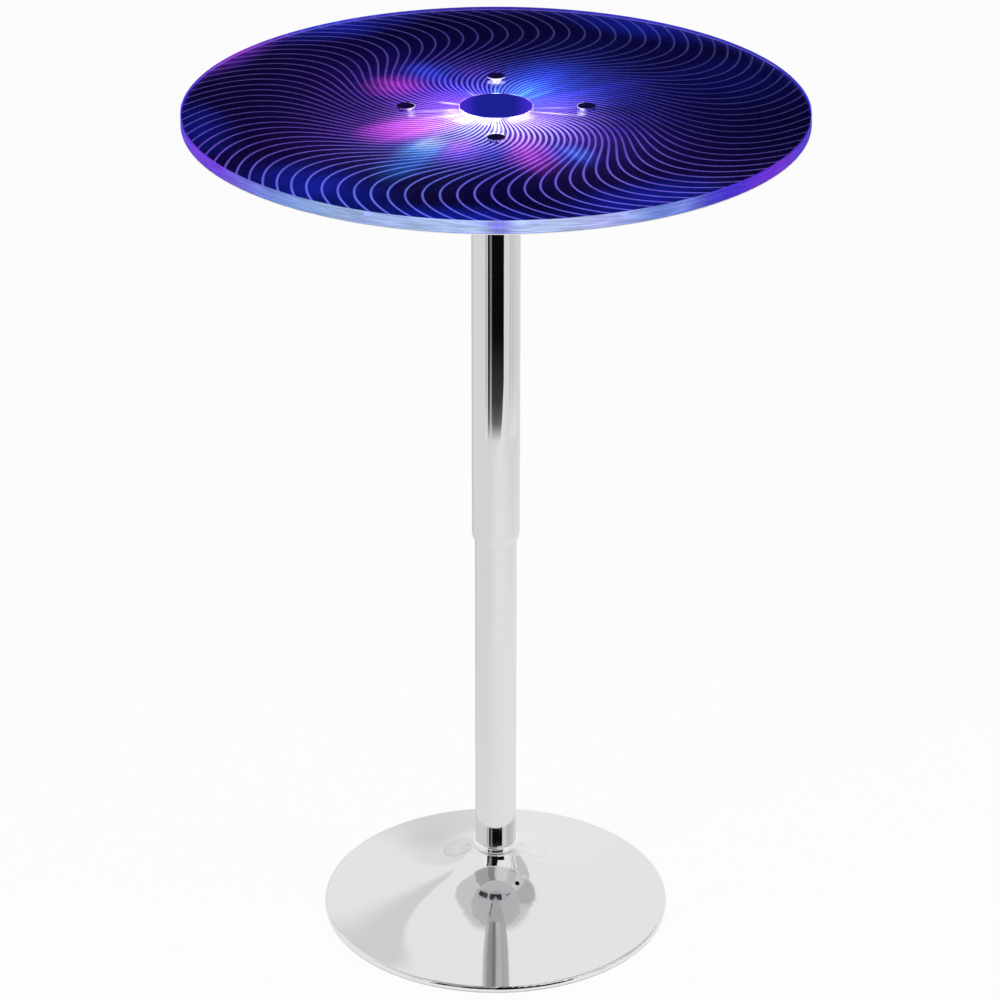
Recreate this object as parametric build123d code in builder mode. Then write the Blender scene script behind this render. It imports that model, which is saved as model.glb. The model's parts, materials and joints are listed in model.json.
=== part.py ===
from build123d import *
from math import cos, hypot, radians, sin
import os

os.makedirs("parts", exist_ok=True)

# Light-up bar table. Origin on the floor under the centre of the column, +Z up.
# The release lever points to +X and the control box lies on the -X side.
# The column is drawn fully raised.

# Driving dimensions
table_height = 884.0
top_diameter = 600.0
base_diameter = 359.0
cover_diameter = 48.3
column_diameter = 42.4
height_travel = 220.0

# Clearances and the overrun of every cut
assembly_gap = 0.1
running_gap = 0.08
loose_gap = 0.3
cut_overrun = 5.0

# Floor ring
floor_ring_height = 2.0
floor_ring_width = 24.5
floor_ring_inset = 0.5
floor_ring_edge = 0.4

# Trumpet shell of the base
shell_sheet = 1.3
rim_height = 6.8
rim_round = 2.6
neck_height = 69.0
neck_radius = 25.0
neck_round = 2.2
flare_cone_share = 0.28
flare_bend_share = 0.28
neck_fall_share = 0.06
neck_bend_share = 0.015
flare_station_shares = (0.0, 0.006, 0.016, 0.035, 0.075, 0.15, 0.28, 0.5, 0.75, 1.0)
flare_halvings = 40
vent_diameter = 5.0
vent_radius = 47.0
vent_angle = -61.5

# Ballast plate
ballast_seat = 5.0
ballast_thickness = 10.0
ballast_shell_gap = 0.8
ballast_bore_diameter = 30.0

# Hub for the column's foot
hub_flange_diameter = 96.0
hub_flange_thickness = 4.0
hub_wall = 2.2
hub_height = 44.0
hub_drain_diameter = 16.0
hub_screw_circle = 72.0
hub_screw_count = 4
hub_screw_diameter = 6.0
hub_screw_head_diameter = 10.0
hub_screw_head_height = 4.0
hub_screw_recess = 1.0
hub_screw_socket = 5.0
hub_screw_socket_depth = 2.5

# Collar round the column's foot
collar_height = 8.0
collar_diameter = 48.5
collar_round = 2.4

# Lower column and its floor
column_wall = 1.5
column_edge = 0.4
column_floor_level = 60.0
column_floor_thickness = 6.0

# Guide bush in the column's top
bush_length = 80.0
bush_flange_height = 3.0
bush_flange_width = 1.3
bush_landing_gap = 8.0

# Thrust bearing under the piston rod's stop
bearing_diameter = 24.0
bearing_washer_thickness = 1.5
bearing_ball_diameter = 3.0
bearing_ball_count = 9
bearing_ball_circle = 17.6
bearing_cage_thickness = 1.6
bearing_cage_width = 5.0
ball_play = 0.02

# Piston rod, clip, bump stop and piston
rod_diameter = 10.0
rod_tail = 4.0
rod_point = 1.0
clip_thickness = 1.2
clip_diameter = 18.0
clip_groove_depth = 1.0
clip_opening = 6.0
bump_stop_height = 14.0
bump_stop_diameter = 22.0
bump_stop_waist = 1.5
bump_stop_clearance = 12.0
piston_thickness = 12.0
piston_start = 1.0
seal_groove_depth = 1.6
seal_groove_width = 3.0

# Gas cylinder
cylinder_diameter = 28.0
cylinder_wall = 1.5
cylinder_end = 6.0
cylinder_taper = 1.0
rod_guide_height = 14.0
guide_groove_depth = 0.8
guide_groove_width = 4.0

# Valve pin in the cylinder's neck
valve_pin_diameter = 5.0
valve_pin_chamfer = 0.8
valve_pin_stand = 4.6
valve_pin_length = 26.0
valve_travel = 3.2

# Socket that grips the cylinder's neck
socket_height = 30.0
socket_wall = 6.0
socket_stand = 20.0

# Upper cover tube, its lip and rings
cover_length = 400.0
cover_wall = 1.5
cover_lip_height = 9.0
cover_lip_gap = 0.35
cover_lip_face = 0.75
cover_lip_land = 1.6
cover_ring_height = 14.0

# Folded bracket under the plate
bracket_length = 140.0
bracket_width = 60.0
bracket_height = 40.0
bracket_sheet = 2.5
bracket_flange = 12.0
bracket_bend = 3.0

# Mounting plate and what clamps the glass on it
plate_diameter = 204.0
plate_thickness = 3.0
plate_edge = 0.6
bolt_circle = 172.0
bolt_count = 4
bolt_diameter = 8.0
bolt_head_diameter = 14.0
bolt_head_height = 1.8
bolt_socket = 5.0
bolt_socket_depth = 1.2
bolt_tail = 2.5
nut_across_flats = 13.0
nut_height = 6.5
washer_diameter = 26.0
washer_thickness = 2.0

# Glass top
glass_thickness = 12.0
glass_arris = 0.8
centre_hole_diameter = 70.0
bolt_hole_diameter = 18.0
bolt_hole_straight = 3.2
bolt_neck_diameter = 12.0
bolt_cone_height = 3.2
sleeve_gap = 0.2
cap_top = 1.0
cap_edge = 0.3

# Backing panel, a film's thickness under the glass
film_gap = 0.3
backing_thickness = 1.0
backing_inset = 0.6
backing_hole_diameter = 65.0

# Light unit in the centre hole
centre_cap_diameter = 69.2
centre_cap_thickness = 2.0
centre_cap_edge = 0.5
centre_cap_spigot = 2.0
carrier_diameter = 62.0
carrier_wall = 1.6
strip_thickness = 0.4
strip_width = 8.0
strip_drop = 1.2
led_count = 12
led_size = 5.0
led_depth = 1.6
led_lens_diameter = 3.6
led_lens_depth = 0.3
carrier_screw_count = 3
carrier_screw_circle = 36.0
carrier_screw_diameter = 3.0
carrier_screw_head_diameter = 5.6
carrier_screw_head_height = 1.8
carrier_boss_diameter = 7.0
carrier_screw_depth = 5.0
carrier_screw_turn = 60.0

# Release lever
lever_diameter = 8.0
lever_pivot_offset = 28.0
lever_pivot_diameter = 6.0
lever_inner_reach = 7.0
lever_boss_diameter = 14.0
lever_boss_width = 12.0
lever_valve_gap = 0.4
lever_knee = 12.0
lever_drop = 17.0
lever_drop_run = 24.0
lever_bend_radius = 14.0
lever_reach = 196.0
grip_length = 62.0
grip_wall = 2.4
grip_overhang = 4.0
grip_round = 3.0
grip_rib_count = 5
grip_rib_width = 2.0
grip_rib_depth = 0.7
pin_head_diameter = 9.0
pin_head_height = 1.6

# Control box under the glass
box_near_end = 115.0
box_length = 120.0
box_width = 64.0
box_height = 22.0
box_wall = 2.0
box_corner = 5.0
lid_thickness = 2.0
tape_thickness = 1.0
tape_width = 12.0
tape_length = 90.0
tape_inset = 7.0
battery_diameter = 14.5
battery_length = 50.5
battery_count = 3
battery_pitch = 15.0
battery_nub_diameter = 5.5
battery_nub_height = 1.0
contact_sheet = 0.5
contact_bump = 1.0
contact_bump_diameter = 6.0
contact_size = 11.0
rib_thickness = 1.5
board_thickness = 1.6
board_gap = 1.5
board_stand = 4.4
board_width = 44.0
board_post_diameter = 5.0
board_post_inset = 5.0
chip_length = 9.0
chip_width = 7.0
chip_height = 1.5
chip_spread = 16.0
switch_size = 6.0
button_diameter = 10.0
button_flange = 1.2
button_flange_height = 1.0
button_stand = 1.4
button_dome = 0.6
button_travel = 1.2
button_offset = 145.0
cover_slot_width = 46.0
battery_cover_length = 56.0
cover_tongue = 1.4
cover_tongue_height = 0.8
cover_grip_count = 4
cover_grip_pitch = 3.0
cover_grip_width = 1.0
cover_grip_depth = 0.5
cover_grip_length = 24.0
box_screw_diameter = 2.5
box_screw_head_diameter = 4.6
box_screw_head_height = 1.2
box_screw_boss = 5.6
box_screw_inset = 5.0

# Lead from the control box to the lights
lead_diameter = 2.5
lead_offset = 14.0
lead_drop = 5.0
lead_bend_radius = 9.0
lead_rise_offset = 24.0
clip_block_length = 8.0
clip_block_width = 9.0
clip_block_foot = 1.5
clip_stations = (78.0, 96.0)

# Radii and levels that follow from the sizes above
base_radius = base_diameter / 2
top_radius = top_diameter / 2
cover_radius = cover_diameter / 2
cover_bore = cover_radius - cover_wall
column_radius = column_diameter / 2
column_bore = column_radius - column_wall
rod_radius = rod_diameter / 2
cylinder_radius = cylinder_diameter / 2
cylinder_bore = cylinder_radius - cylinder_wall
valve_radius = valve_pin_diameter / 2
carrier_radius = carrier_diameter / 2
flare_radius = base_radius - rim_round
glass_bottom = table_height - glass_thickness
backing_top = glass_bottom - film_gap
backing_bottom = backing_top - backing_thickness
plate_top = backing_bottom - washer_thickness
plate_bottom = plate_top - plate_thickness
bracket_bottom = plate_bottom - bracket_height
socket_top = bracket_bottom + socket_stand
socket_bottom = socket_top - socket_height
cover_bottom = bracket_bottom - cover_length
column_top = socket_bottom - height_travel - bush_flange_height - bush_landing_gap
column_floor_top = column_floor_level + column_floor_thickness
bearing_race = column_floor_top + bearing_washer_thickness
bearing_top = bearing_race + bearing_ball_diameter
bump_stop_bottom = bearing_top + bearing_washer_thickness
bump_stop_top = bump_stop_bottom + bump_stop_height
cylinder_bottom = bump_stop_top + bump_stop_clearance + height_travel
rod_guide_top = cylinder_bottom + rod_guide_height
piston_bottom = rod_guide_top + piston_start
piston_top = piston_bottom + piston_thickness
clip_bottom = column_floor_level - loose_gap - clip_thickness
rod_bottom = clip_bottom - rod_tail
hub_bottom = floor_ring_height + ballast_thickness
hub_floor = hub_bottom + hub_flange_thickness
valve_pin_top = socket_top + valve_pin_stand
lever_level = valve_pin_top + lever_valve_gap + lever_diameter / 2
lever_arm_level = lever_level - lever_drop


def radial_plane(angle, reach, height):
    """A sketch plane at one angle round the column, facing outwards."""
    across = (-sin(radians(angle)), cos(radians(angle)), 0)
    outwards = (cos(radians(angle)), sin(radians(angle)), 0)
    place = (reach * cos(radians(angle)), reach * sin(radians(angle)), height)
    return Plane(origin=place, x_dir=across, z_dir=outwards)


def finish(piece, name):
    """Labels a finished piece and writes it under its own name."""
    piece.part.label = name
    export_step(piece.part, f"parts/{name}.step")


# Trumpet flare: a flat cone with a wide bend and, at the neck, a tight one
flare_run = flare_radius - neck_radius
flare_rise = neck_height - rim_height
flare_wide_share = 1 - flare_cone_share - neck_fall_share


def bend_fall(bend, share):
    """Height of a hyperbola that falls from 1 at the neck to 0 at the rim."""
    return bend * (1 - share) / (bend + share)


def bend_steepness(bend, share):
    """Steepness of that hyperbola."""
    return bend * (1 + bend) / (bend + share) ** 2


def flare_point(share):
    """Outer point of the flare at a share of its run from neck to rim."""
    fall = flare_cone_share * (1 - share)
    fall += flare_wide_share * bend_fall(flare_bend_share, share)
    fall += neck_fall_share * bend_fall(neck_bend_share, share)
    return neck_radius + flare_run * share, rim_height + flare_rise * fall


def flare_normal(share):
    """Unit normal of the flare there, pointing up and outwards."""
    bend = flare_cone_share
    bend += flare_wide_share * bend_steepness(flare_bend_share, share)
    bend += neck_fall_share * bend_steepness(neck_bend_share, share)
    steepness = flare_rise * bend / flare_run
    return steepness / hypot(steepness, 1), 1 / hypot(steepness, 1)


def flare_under(share, depth):
    """Point at a depth under the flare's outer face, square to it."""
    radius, height = flare_point(share)
    out, up = flare_normal(share)
    return radius - out * depth, height - up * depth


# Soft ring that the base stands on
floor_ring_outer = base_radius - floor_ring_inset
floor_ring_inner = base_radius - floor_ring_width
with BuildPart() as floor_ring:
    with BuildSketch(Plane.XZ):
        with Locations(((floor_ring_inner + floor_ring_outer) / 2, floor_ring_height / 2)):
            Rectangle(floor_ring_outer - floor_ring_inner, floor_ring_height)
    revolve(axis=Axis.Z)
    chamfer(floor_ring.edges().group_by(Axis.Z)[0], length=floor_ring_edge)
finish(floor_ring, "floor_ring")

# Spun shell: rolled rim, flare and a turned-in neck, all one sheet thick
outer_flare = [flare_point(share) for share in flare_station_shares]
inner_flare = [flare_under(share, shell_sheet) for share in flare_station_shares]
column_hole_radius = column_radius + assembly_gap
with BuildPart() as base_shell:
    with BuildSketch(Plane.XZ):
        with BuildLine():
            neck_lip = Line((column_hole_radius, neck_height), (neck_radius, neck_height))
            outer = Spline(*outer_flare)
            rim_arc = TangentArc(
                outer @ 1, (base_radius, rim_height - rim_round), tangent=outer % 1
            )
            skirt = Line(rim_arc @ 1, (base_radius, floor_ring_height))
            foot = Line(skirt @ 1, (base_radius - shell_sheet, floor_ring_height))
            inner_skirt = Line(foot @ 1, (base_radius - shell_sheet, rim_height - rim_round))
            inner = Spline(*reversed(inner_flare))
            Line(inner_skirt @ 1, inner @ 0)
            inner_lip = Line(inner @ 1, (inner_flare[0][0], neck_height - shell_sheet))
            lip_under = Line(inner_lip @ 1, (column_hole_radius, neck_height - shell_sheet))
            Line(lip_under @ 1, neck_lip @ 0)
        make_face()
    revolve(axis=Axis.Z)
    neck_edge = base_shell.edges().filter_by(GeomType.CIRCLE).group_by(Axis.Z)[-1]
    fillet(neck_edge.sort_by(SortBy.RADIUS)[-1], radius=neck_round)
    vent_share = (vent_radius - neck_radius) / flare_run
    vent_out, vent_up = flare_normal(vent_share)
    vent_height = flare_point(vent_share)[1]
    vent_turn = radians(vent_angle)
    vent_axis = (vent_out * cos(vent_turn), vent_out * sin(vent_turn), vent_up)
    vent_place = (vent_radius * cos(vent_turn), vent_radius * sin(vent_turn), vent_height)
    with BuildSketch(Plane(origin=vent_place, z_dir=vent_axis)):
        Circle(vent_diameter / 2)
    extrude(amount=shell_sheet * 2, both=True, mode=Mode.SUBTRACT)
finish(base_shell, "base_shell")

# Ballast: a flat cast disc, bevelled where the shell comes down over it
ballast_radius = floor_ring_inner + ballast_seat
ballast_top = floor_ring_height + ballast_thickness
shell_drop = shell_sheet + ballast_shell_gap


def flare_share_at(height):
    """Share of the flare's run where its outer face has this height, found by halving."""
    high_share, low_share = 0, 1
    for _ in range(flare_halvings):
        middle_share = (high_share + low_share) / 2
        if flare_point(middle_share)[1] > height:
            high_share = middle_share
        else:
            low_share = middle_share
    return high_share


bevel_radius = neck_radius + flare_run * flare_share_at(ballast_top + shell_drop)
edge_share = (ballast_radius - neck_radius) / flare_run
ballast_edge = flare_point(edge_share)[1] - shell_drop
waist_share = (flare_share_at(ballast_top + shell_drop) + edge_share) / 2
waist_radius = neck_radius + flare_run * waist_share
with BuildPart() as ballast_plate:
    with BuildSketch(Plane.XZ):
        with BuildLine():
            Polyline(
                (ballast_bore_diameter / 2, floor_ring_height),
                (ballast_radius, floor_ring_height),
                (ballast_radius, ballast_edge),
                (waist_radius, flare_point(waist_share)[1] - shell_drop),
                (bevel_radius, ballast_top),
                (ballast_bore_diameter / 2, ballast_top),
                close=True,
            )
        make_face()
    revolve(axis=Axis.Z)
    with BuildSketch(Plane.XY.offset(floor_ring_height)):
        with PolarLocations(hub_screw_circle / 2, hub_screw_count):
            Circle(hub_screw_head_diameter / 2 + loose_gap)
    extrude(amount=hub_screw_recess + hub_screw_head_height, mode=Mode.SUBTRACT)
    with BuildSketch(Plane.XY.offset(floor_ring_height)):
        with PolarLocations(hub_screw_circle / 2, hub_screw_count):
            Circle(hub_screw_diameter / 2 + assembly_gap)
    extrude(amount=ballast_thickness + cut_overrun, mode=Mode.SUBTRACT)
finish(ballast_plate, "ballast_plate")

# Hub: a flange on the ballast with a tube round the column's foot
hub_bore = column_radius + assembly_gap
with BuildPart() as column_hub:
    with BuildSketch(Plane.XY.offset(hub_bottom)):
        Circle(hub_flange_diameter / 2)
        Circle(hub_drain_diameter / 2, mode=Mode.SUBTRACT)
        with PolarLocations(hub_screw_circle / 2, hub_screw_count):
            Circle(hub_screw_diameter / 2 + assembly_gap, mode=Mode.SUBTRACT)
    extrude(amount=hub_flange_thickness)
    with BuildSketch(Plane.XY.offset(hub_floor)):
        Circle(hub_bore + hub_wall)
        Circle(hub_bore, mode=Mode.SUBTRACT)
    extrude(amount=hub_height - hub_flange_thickness)
finish(column_hub, "column_hub")

# Four socket-head screws, up through the ballast into the hub
with BuildPart() as hub_screws:
    screw_head_level = floor_ring_height + hub_screw_recess
    with BuildSketch(Plane.XY.offset(screw_head_level)):
        with PolarLocations(hub_screw_circle / 2, hub_screw_count):
            Circle(hub_screw_head_diameter / 2)
    extrude(amount=hub_screw_head_height)
    with BuildSketch(Plane.XY.offset(screw_head_level)):
        with PolarLocations(hub_screw_circle / 2, hub_screw_count):
            Circle(hub_screw_diameter / 2)
    extrude(amount=hub_floor - screw_head_level)
    with BuildSketch(Plane.XY.offset(screw_head_level)):
        with PolarLocations(hub_screw_circle / 2, hub_screw_count):
            RegularPolygon(hub_screw_socket / 2, 6, major_radius=False)
    extrude(amount=hub_screw_socket_depth, mode=Mode.SUBTRACT)
finish(hub_screws, "hub_screws")

# Bright collar on top of the trumpet
with BuildPart() as base_collar:
    with BuildSketch(Plane.XY.offset(neck_height)):
        Circle(collar_diameter / 2)
        Circle(column_hole_radius, mode=Mode.SUBTRACT)
    extrude(amount=collar_height)
    collar_rims = base_collar.edges().filter_by(GeomType.CIRCLE).group_by(SortBy.RADIUS)[-1]
    collar_wall = collar_diameter / 2 - column_hole_radius
    fillet(collar_rims, radius=min(collar_round, collar_wall - assembly_gap))
finish(base_collar, "base_collar")

# Lower column, standing in the hub
with BuildPart() as lower_column:
    with BuildSketch(Plane.XY.offset(hub_floor)):
        Circle(column_radius)
        Circle(column_bore, mode=Mode.SUBTRACT)
    extrude(amount=column_top - hub_floor)
    chamfer(lower_column.edges().group_by(Axis.Z)[-1], length=column_edge)
finish(lower_column, "lower_column")

# Floor across the column that the gas spring's rod stands on
with BuildPart() as column_floor:
    with BuildSketch(Plane.XY.offset(column_floor_level)):
        Circle(column_bore - assembly_gap)
        Circle(rod_radius + loose_gap, mode=Mode.SUBTRACT)
    extrude(amount=column_floor_thickness)
finish(column_floor, "column_floor")

# Long guide bush in the column's top, with a flange over its edge
with BuildPart() as column_bush:
    with BuildSketch(Plane.XY.offset(column_top - bush_length)):
        Circle(column_bore - assembly_gap)
        Circle(cylinder_radius + running_gap, mode=Mode.SUBTRACT)
    extrude(amount=bush_length)
    with BuildSketch(Plane.XY.offset(column_top)):
        Circle(column_bore + bush_flange_width)
        Circle(cylinder_radius + running_gap, mode=Mode.SUBTRACT)
    extrude(amount=bush_flange_height)
finish(column_bush, "column_bush")

# Thrust bearing: two washers with a cage of balls between them
bearing_radius = bearing_diameter / 2
with BuildPart() as bearing_lower_washer:
    with BuildSketch(Plane.XY.offset(column_floor_top)):
        Circle(bearing_radius)
        Circle(rod_radius + loose_gap, mode=Mode.SUBTRACT)
    extrude(amount=bearing_washer_thickness)
finish(bearing_lower_washer, "bearing_lower_washer")

with BuildPart() as bearing_upper_washer:
    with BuildSketch(Plane.XY.offset(bearing_top)):
        Circle(bearing_radius)
        Circle(rod_radius + assembly_gap, mode=Mode.SUBTRACT)
    extrude(amount=bearing_washer_thickness)
finish(bearing_upper_washer, "bearing_upper_washer")

cage_middle = bearing_race + bearing_ball_diameter / 2
cage_level = cage_middle - bearing_cage_thickness / 2
with BuildPart() as bearing_cage:
    with BuildSketch(Plane.XY.offset(cage_level)):
        Circle((bearing_ball_circle + bearing_cage_width) / 2)
        Circle((bearing_ball_circle - bearing_cage_width) / 2, mode=Mode.SUBTRACT)
        with PolarLocations(bearing_ball_circle / 2, bearing_ball_count):
            Circle(bearing_ball_diameter / 2 + assembly_gap, mode=Mode.SUBTRACT)
    extrude(amount=bearing_cage_thickness)
finish(bearing_cage, "bearing_cage")

with BuildPart(Plane.XY.offset(cage_middle)) as bearing_balls:
    with PolarLocations(bearing_ball_circle / 2, bearing_ball_count):
        Sphere(bearing_ball_diameter / 2 - ball_play)
finish(bearing_balls, "bearing_balls")

# Piston rod with a groove for its clip near the foot
with BuildPart() as piston_rod:
    with BuildSketch(Plane.XY.offset(rod_bottom)):
        Circle(rod_radius)
    extrude(amount=piston_top - rod_bottom)
    chamfer(piston_rod.edges().group_by(Axis.Z)[0], length=rod_point)
    with BuildSketch(Plane.XY.offset(clip_bottom)):
        Circle(rod_radius + cut_overrun)
        Circle(rod_radius - clip_groove_depth, mode=Mode.SUBTRACT)
    extrude(amount=clip_thickness, mode=Mode.SUBTRACT)
finish(piston_rod, "piston_rod")

# Open spring clip under the column's floor
with BuildPart() as rod_clip:
    with BuildSketch(Plane.XY.offset(clip_bottom)):
        Circle(clip_diameter / 2)
        Circle(rod_radius - clip_groove_depth + assembly_gap, mode=Mode.SUBTRACT)
        with Locations((0, clip_diameter / 2)):
            Rectangle(clip_opening, clip_diameter, mode=Mode.SUBTRACT)
    extrude(amount=clip_thickness)
finish(rod_clip, "rod_clip")

# Rubber bump stop with a waist
with BuildPart() as bump_stop:
    stop_inner = rod_radius + assembly_gap
    stop_outer = bump_stop_diameter / 2
    stop_middle = (bump_stop_bottom + bump_stop_top) / 2
    with BuildSketch(Plane.XZ):
        with BuildLine():
            lower = Polyline(
                (stop_inner, bump_stop_top),
                (stop_inner, bump_stop_bottom),
                (stop_outer, bump_stop_bottom),
            )
            waist = ThreePointArc(
                lower @ 1, (stop_outer - bump_stop_waist, stop_middle), (stop_outer, bump_stop_top)
            )
            Line(waist @ 1, lower @ 0)
        make_face()
    revolve(axis=Axis.Z)
finish(bump_stop, "bump_stop")

# Piston on the rod's upper end, with a seal groove
with BuildPart() as piston:
    piston_radius = cylinder_bore - running_gap
    with BuildSketch(Plane.XY.offset(piston_bottom)):
        Circle(piston_radius)
        Circle(rod_radius + assembly_gap / 2, mode=Mode.SUBTRACT)
    extrude(amount=piston_thickness)
    with BuildSketch(Plane.XY.offset(piston_bottom + (piston_thickness - seal_groove_width) / 2)):
        Circle(piston_radius + cut_overrun)
        Circle(piston_radius - seal_groove_depth, mode=Mode.SUBTRACT)
    extrude(amount=seal_groove_width, mode=Mode.SUBTRACT)
finish(piston, "piston")

# Gas cylinder: tube, closed top and a tapered neck with a bore for the valve pin
neck_top_radius = cylinder_radius - cylinder_taper
neck_top_level = socket_top - assembly_gap
valve_bottom = valve_pin_top - valve_pin_length
valve_chamber = valve_bottom - valve_travel - loose_gap
cylinder_ceiling = valve_chamber - cylinder_end
with BuildPart() as gas_cylinder:
    with BuildSketch(Plane.XZ):
        with BuildLine():
            Polyline(
                (cylinder_bore, cylinder_bottom),
                (cylinder_radius, cylinder_bottom),
                (cylinder_radius, socket_bottom),
                (neck_top_radius, neck_top_level),
                (valve_radius + running_gap, neck_top_level),
                (valve_radius + running_gap, valve_chamber),
                (0, valve_chamber),
                (0, cylinder_ceiling),
                (cylinder_bore, cylinder_ceiling),
                close=True,
            )
        make_face()
    revolve(axis=Axis.Z)
finish(gas_cylinder, "gas_cylinder")

# Plug in the cylinder's foot that guides the rod
with BuildPart() as rod_guide:
    guide_radius = cylinder_bore - assembly_gap / 2
    with BuildSketch(Plane.XY.offset(cylinder_bottom)):
        Circle(guide_radius)
        Circle(rod_radius + running_gap, mode=Mode.SUBTRACT)
    extrude(amount=rod_guide_height)
    with BuildSketch(Plane.XY.offset(cylinder_bottom + (rod_guide_height - guide_groove_width) / 2)):
        Circle(guide_radius + cut_overrun)
        Circle(guide_radius - guide_groove_depth, mode=Mode.SUBTRACT)
    extrude(amount=guide_groove_width, mode=Mode.SUBTRACT)
finish(rod_guide, "rod_guide")

# Pin that opens the gas spring's valve
with BuildPart() as valve_pin:
    with BuildSketch(Plane.XY.offset(valve_bottom)):
        Circle(valve_radius)
    extrude(amount=valve_pin_length)
    chamfer(valve_pin.edges().group_by(Axis.Z)[-1], length=valve_pin_chamfer)
finish(valve_pin, "valve_pin")

# Upper cover tube: its foot is drawn in to a lip round the lower column
lip_bore = column_radius + cover_lip_gap
lip_radius = lip_bore + cover_lip_face
lip_level = cover_bottom + cover_lip_height
with BuildPart() as upper_cover:
    with BuildSketch(Plane.XZ):
        with BuildLine():
            outer_wall = Line((cover_radius, bracket_bottom), (cover_radius, lip_level))
            outer_lip = TangentArc(outer_wall @ 1, (lip_radius, cover_bottom), tangent=(0, -1))
            lip_face = Line(outer_lip @ 1, (lip_bore, cover_bottom))
            lip_land = Line(lip_face @ 1, (lip_bore, cover_bottom + cover_lip_land))
            shoulder = Line(lip_land @ 1, (cover_bore, lip_level))
            inner_wall = Line(shoulder @ 1, (cover_bore, bracket_bottom))
            Line(inner_wall @ 1, outer_wall @ 0)
        make_face()
    revolve(axis=Axis.Z)
finish(upper_cover, "upper_cover")

# Glide ring above the lip, between the cover and the column
with BuildPart() as cover_ring:
    with BuildSketch(Plane.XY.offset(lip_level)):
        Circle(cover_bore - assembly_gap)
        Circle(column_radius + running_gap, mode=Mode.SUBTRACT)
    extrude(amount=cover_ring_height)
finish(cover_ring, "cover_ring")

# Socket for the cylinder's neck, through the bracket's web
neck_top_bore = neck_top_radius + assembly_gap / 2
neck_foot_bore = cylinder_radius + assembly_gap / 2
socket_radius = cylinder_radius + socket_wall
with BuildPart() as lift_socket:
    with BuildSketch(Plane.XZ):
        with BuildLine():
            Polyline(
                (neck_foot_bore, socket_bottom),
                (socket_radius, socket_bottom),
                (socket_radius, socket_top),
                (neck_top_bore, socket_top),
                close=True,
            )
        make_face()
    revolve(axis=Axis.Z)
finish(lift_socket, "lift_socket")

# Spacer that centres the cover on the socket
with BuildPart() as cover_spacer:
    with BuildSketch(Plane.XY.offset(socket_bottom)):
        Circle(cover_bore - assembly_gap)
        Circle(socket_radius + assembly_gap, mode=Mode.SUBTRACT)
    extrude(amount=bracket_bottom - socket_bottom)
finish(cover_spacer, "cover_spacer")

# Folded bracket: a web, two walls and two outward flanges
wall_centre = (bracket_width - bracket_sheet) / 2
flange_end = bracket_width / 2 + bracket_flange
with BuildPart() as lever_bracket:
    with BuildSketch(Plane.YZ.offset(-bracket_length / 2)):
        with BuildLine():
            fold = FilletPolyline(
                (-flange_end, plate_bottom - bracket_sheet / 2),
                (-wall_centre, plate_bottom - bracket_sheet / 2),
                (-wall_centre, bracket_bottom + bracket_sheet / 2),
                (wall_centre, bracket_bottom + bracket_sheet / 2),
                (wall_centre, plate_bottom - bracket_sheet / 2),
                (flange_end, plate_bottom - bracket_sheet / 2),
                radius=bracket_bend,
            )
        trace(fold, line_width=bracket_sheet)
    extrude(amount=bracket_length)
    with BuildSketch(Plane.XY.offset(bracket_bottom)):
        Circle(socket_radius + assembly_gap)
    extrude(amount=bracket_sheet, mode=Mode.SUBTRACT)
    with BuildSketch(Plane.XZ.offset(-bracket_width)):
        with Locations((lever_pivot_offset, lever_level)):
            Circle(lever_pivot_diameter / 2 + assembly_gap)
    extrude(amount=bracket_width * 2, mode=Mode.SUBTRACT)
finish(lever_bracket, "lever_bracket")

# Headed pin that the lever turns on, across the bracket
with BuildPart() as lever_pivot_pin:
    with BuildSketch(Plane.XZ.offset(-bracket_width / 2 - loose_gap)):
        with Locations((lever_pivot_offset, lever_level)):
            Circle(lever_pivot_diameter / 2)
    extrude(amount=bracket_width + loose_gap * 2 + pin_head_height)
    with BuildSketch(Plane.XZ.offset(bracket_width / 2 + loose_gap)):
        with Locations((lever_pivot_offset, lever_level)):
            Circle(pin_head_diameter / 2)
    extrude(amount=pin_head_height)
    with BuildSketch(Plane.XZ.offset(-bracket_width / 2 - loose_gap - pin_head_height)):
        with Locations((lever_pivot_offset, lever_level)):
            Circle(pin_head_diameter / 2)
    extrude(amount=pin_head_height)
finish(lever_pivot_pin, "lever_pivot_pin")

# Mounting plate with holes for the clamp bolts, the carrier's screws and the lead
with BuildPart() as mounting_plate:
    with BuildSketch(Plane.XY.offset(plate_bottom)):
        Circle(plate_diameter / 2)
        with PolarLocations(bolt_circle / 2, bolt_count):
            Circle(bolt_diameter / 2 + loose_gap, mode=Mode.SUBTRACT)
        with PolarLocations(carrier_screw_circle / 2, carrier_screw_count, carrier_screw_turn):
            Circle(carrier_screw_diameter / 2 + assembly_gap, mode=Mode.SUBTRACT)
        with Locations((-lead_rise_offset, lead_offset)):
            Circle(lead_diameter, mode=Mode.SUBTRACT)
    extrude(amount=plate_thickness)
    plate_rims = mounting_plate.edges().filter_by(GeomType.CIRCLE).group_by(SortBy.RADIUS)[-1]
    chamfer(plate_rims, length=plate_edge)
finish(mounting_plate, "mounting_plate")

# Rubber washers between the plate and the panel
with BuildPart() as rubber_washers:
    with BuildSketch(Plane.XY.offset(plate_top)):
        with PolarLocations(bolt_circle / 2, bolt_count):
            Circle(washer_diameter / 2)
            Circle(bolt_diameter / 2 + loose_gap, mode=Mode.SUBTRACT)
    extrude(amount=washer_thickness)
finish(rubber_washers, "rubber_washers")

# Levels inside each clamp hole of the glass
cone_top = table_height - bolt_hole_straight
cone_bottom = cone_top - bolt_cone_height
bolt_hole_radius = bolt_hole_diameter / 2
bolt_neck_radius = bolt_neck_diameter / 2
bolt_top = cone_top + bolt_head_height
bolt_end = plate_bottom - nut_height - bolt_tail

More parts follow.
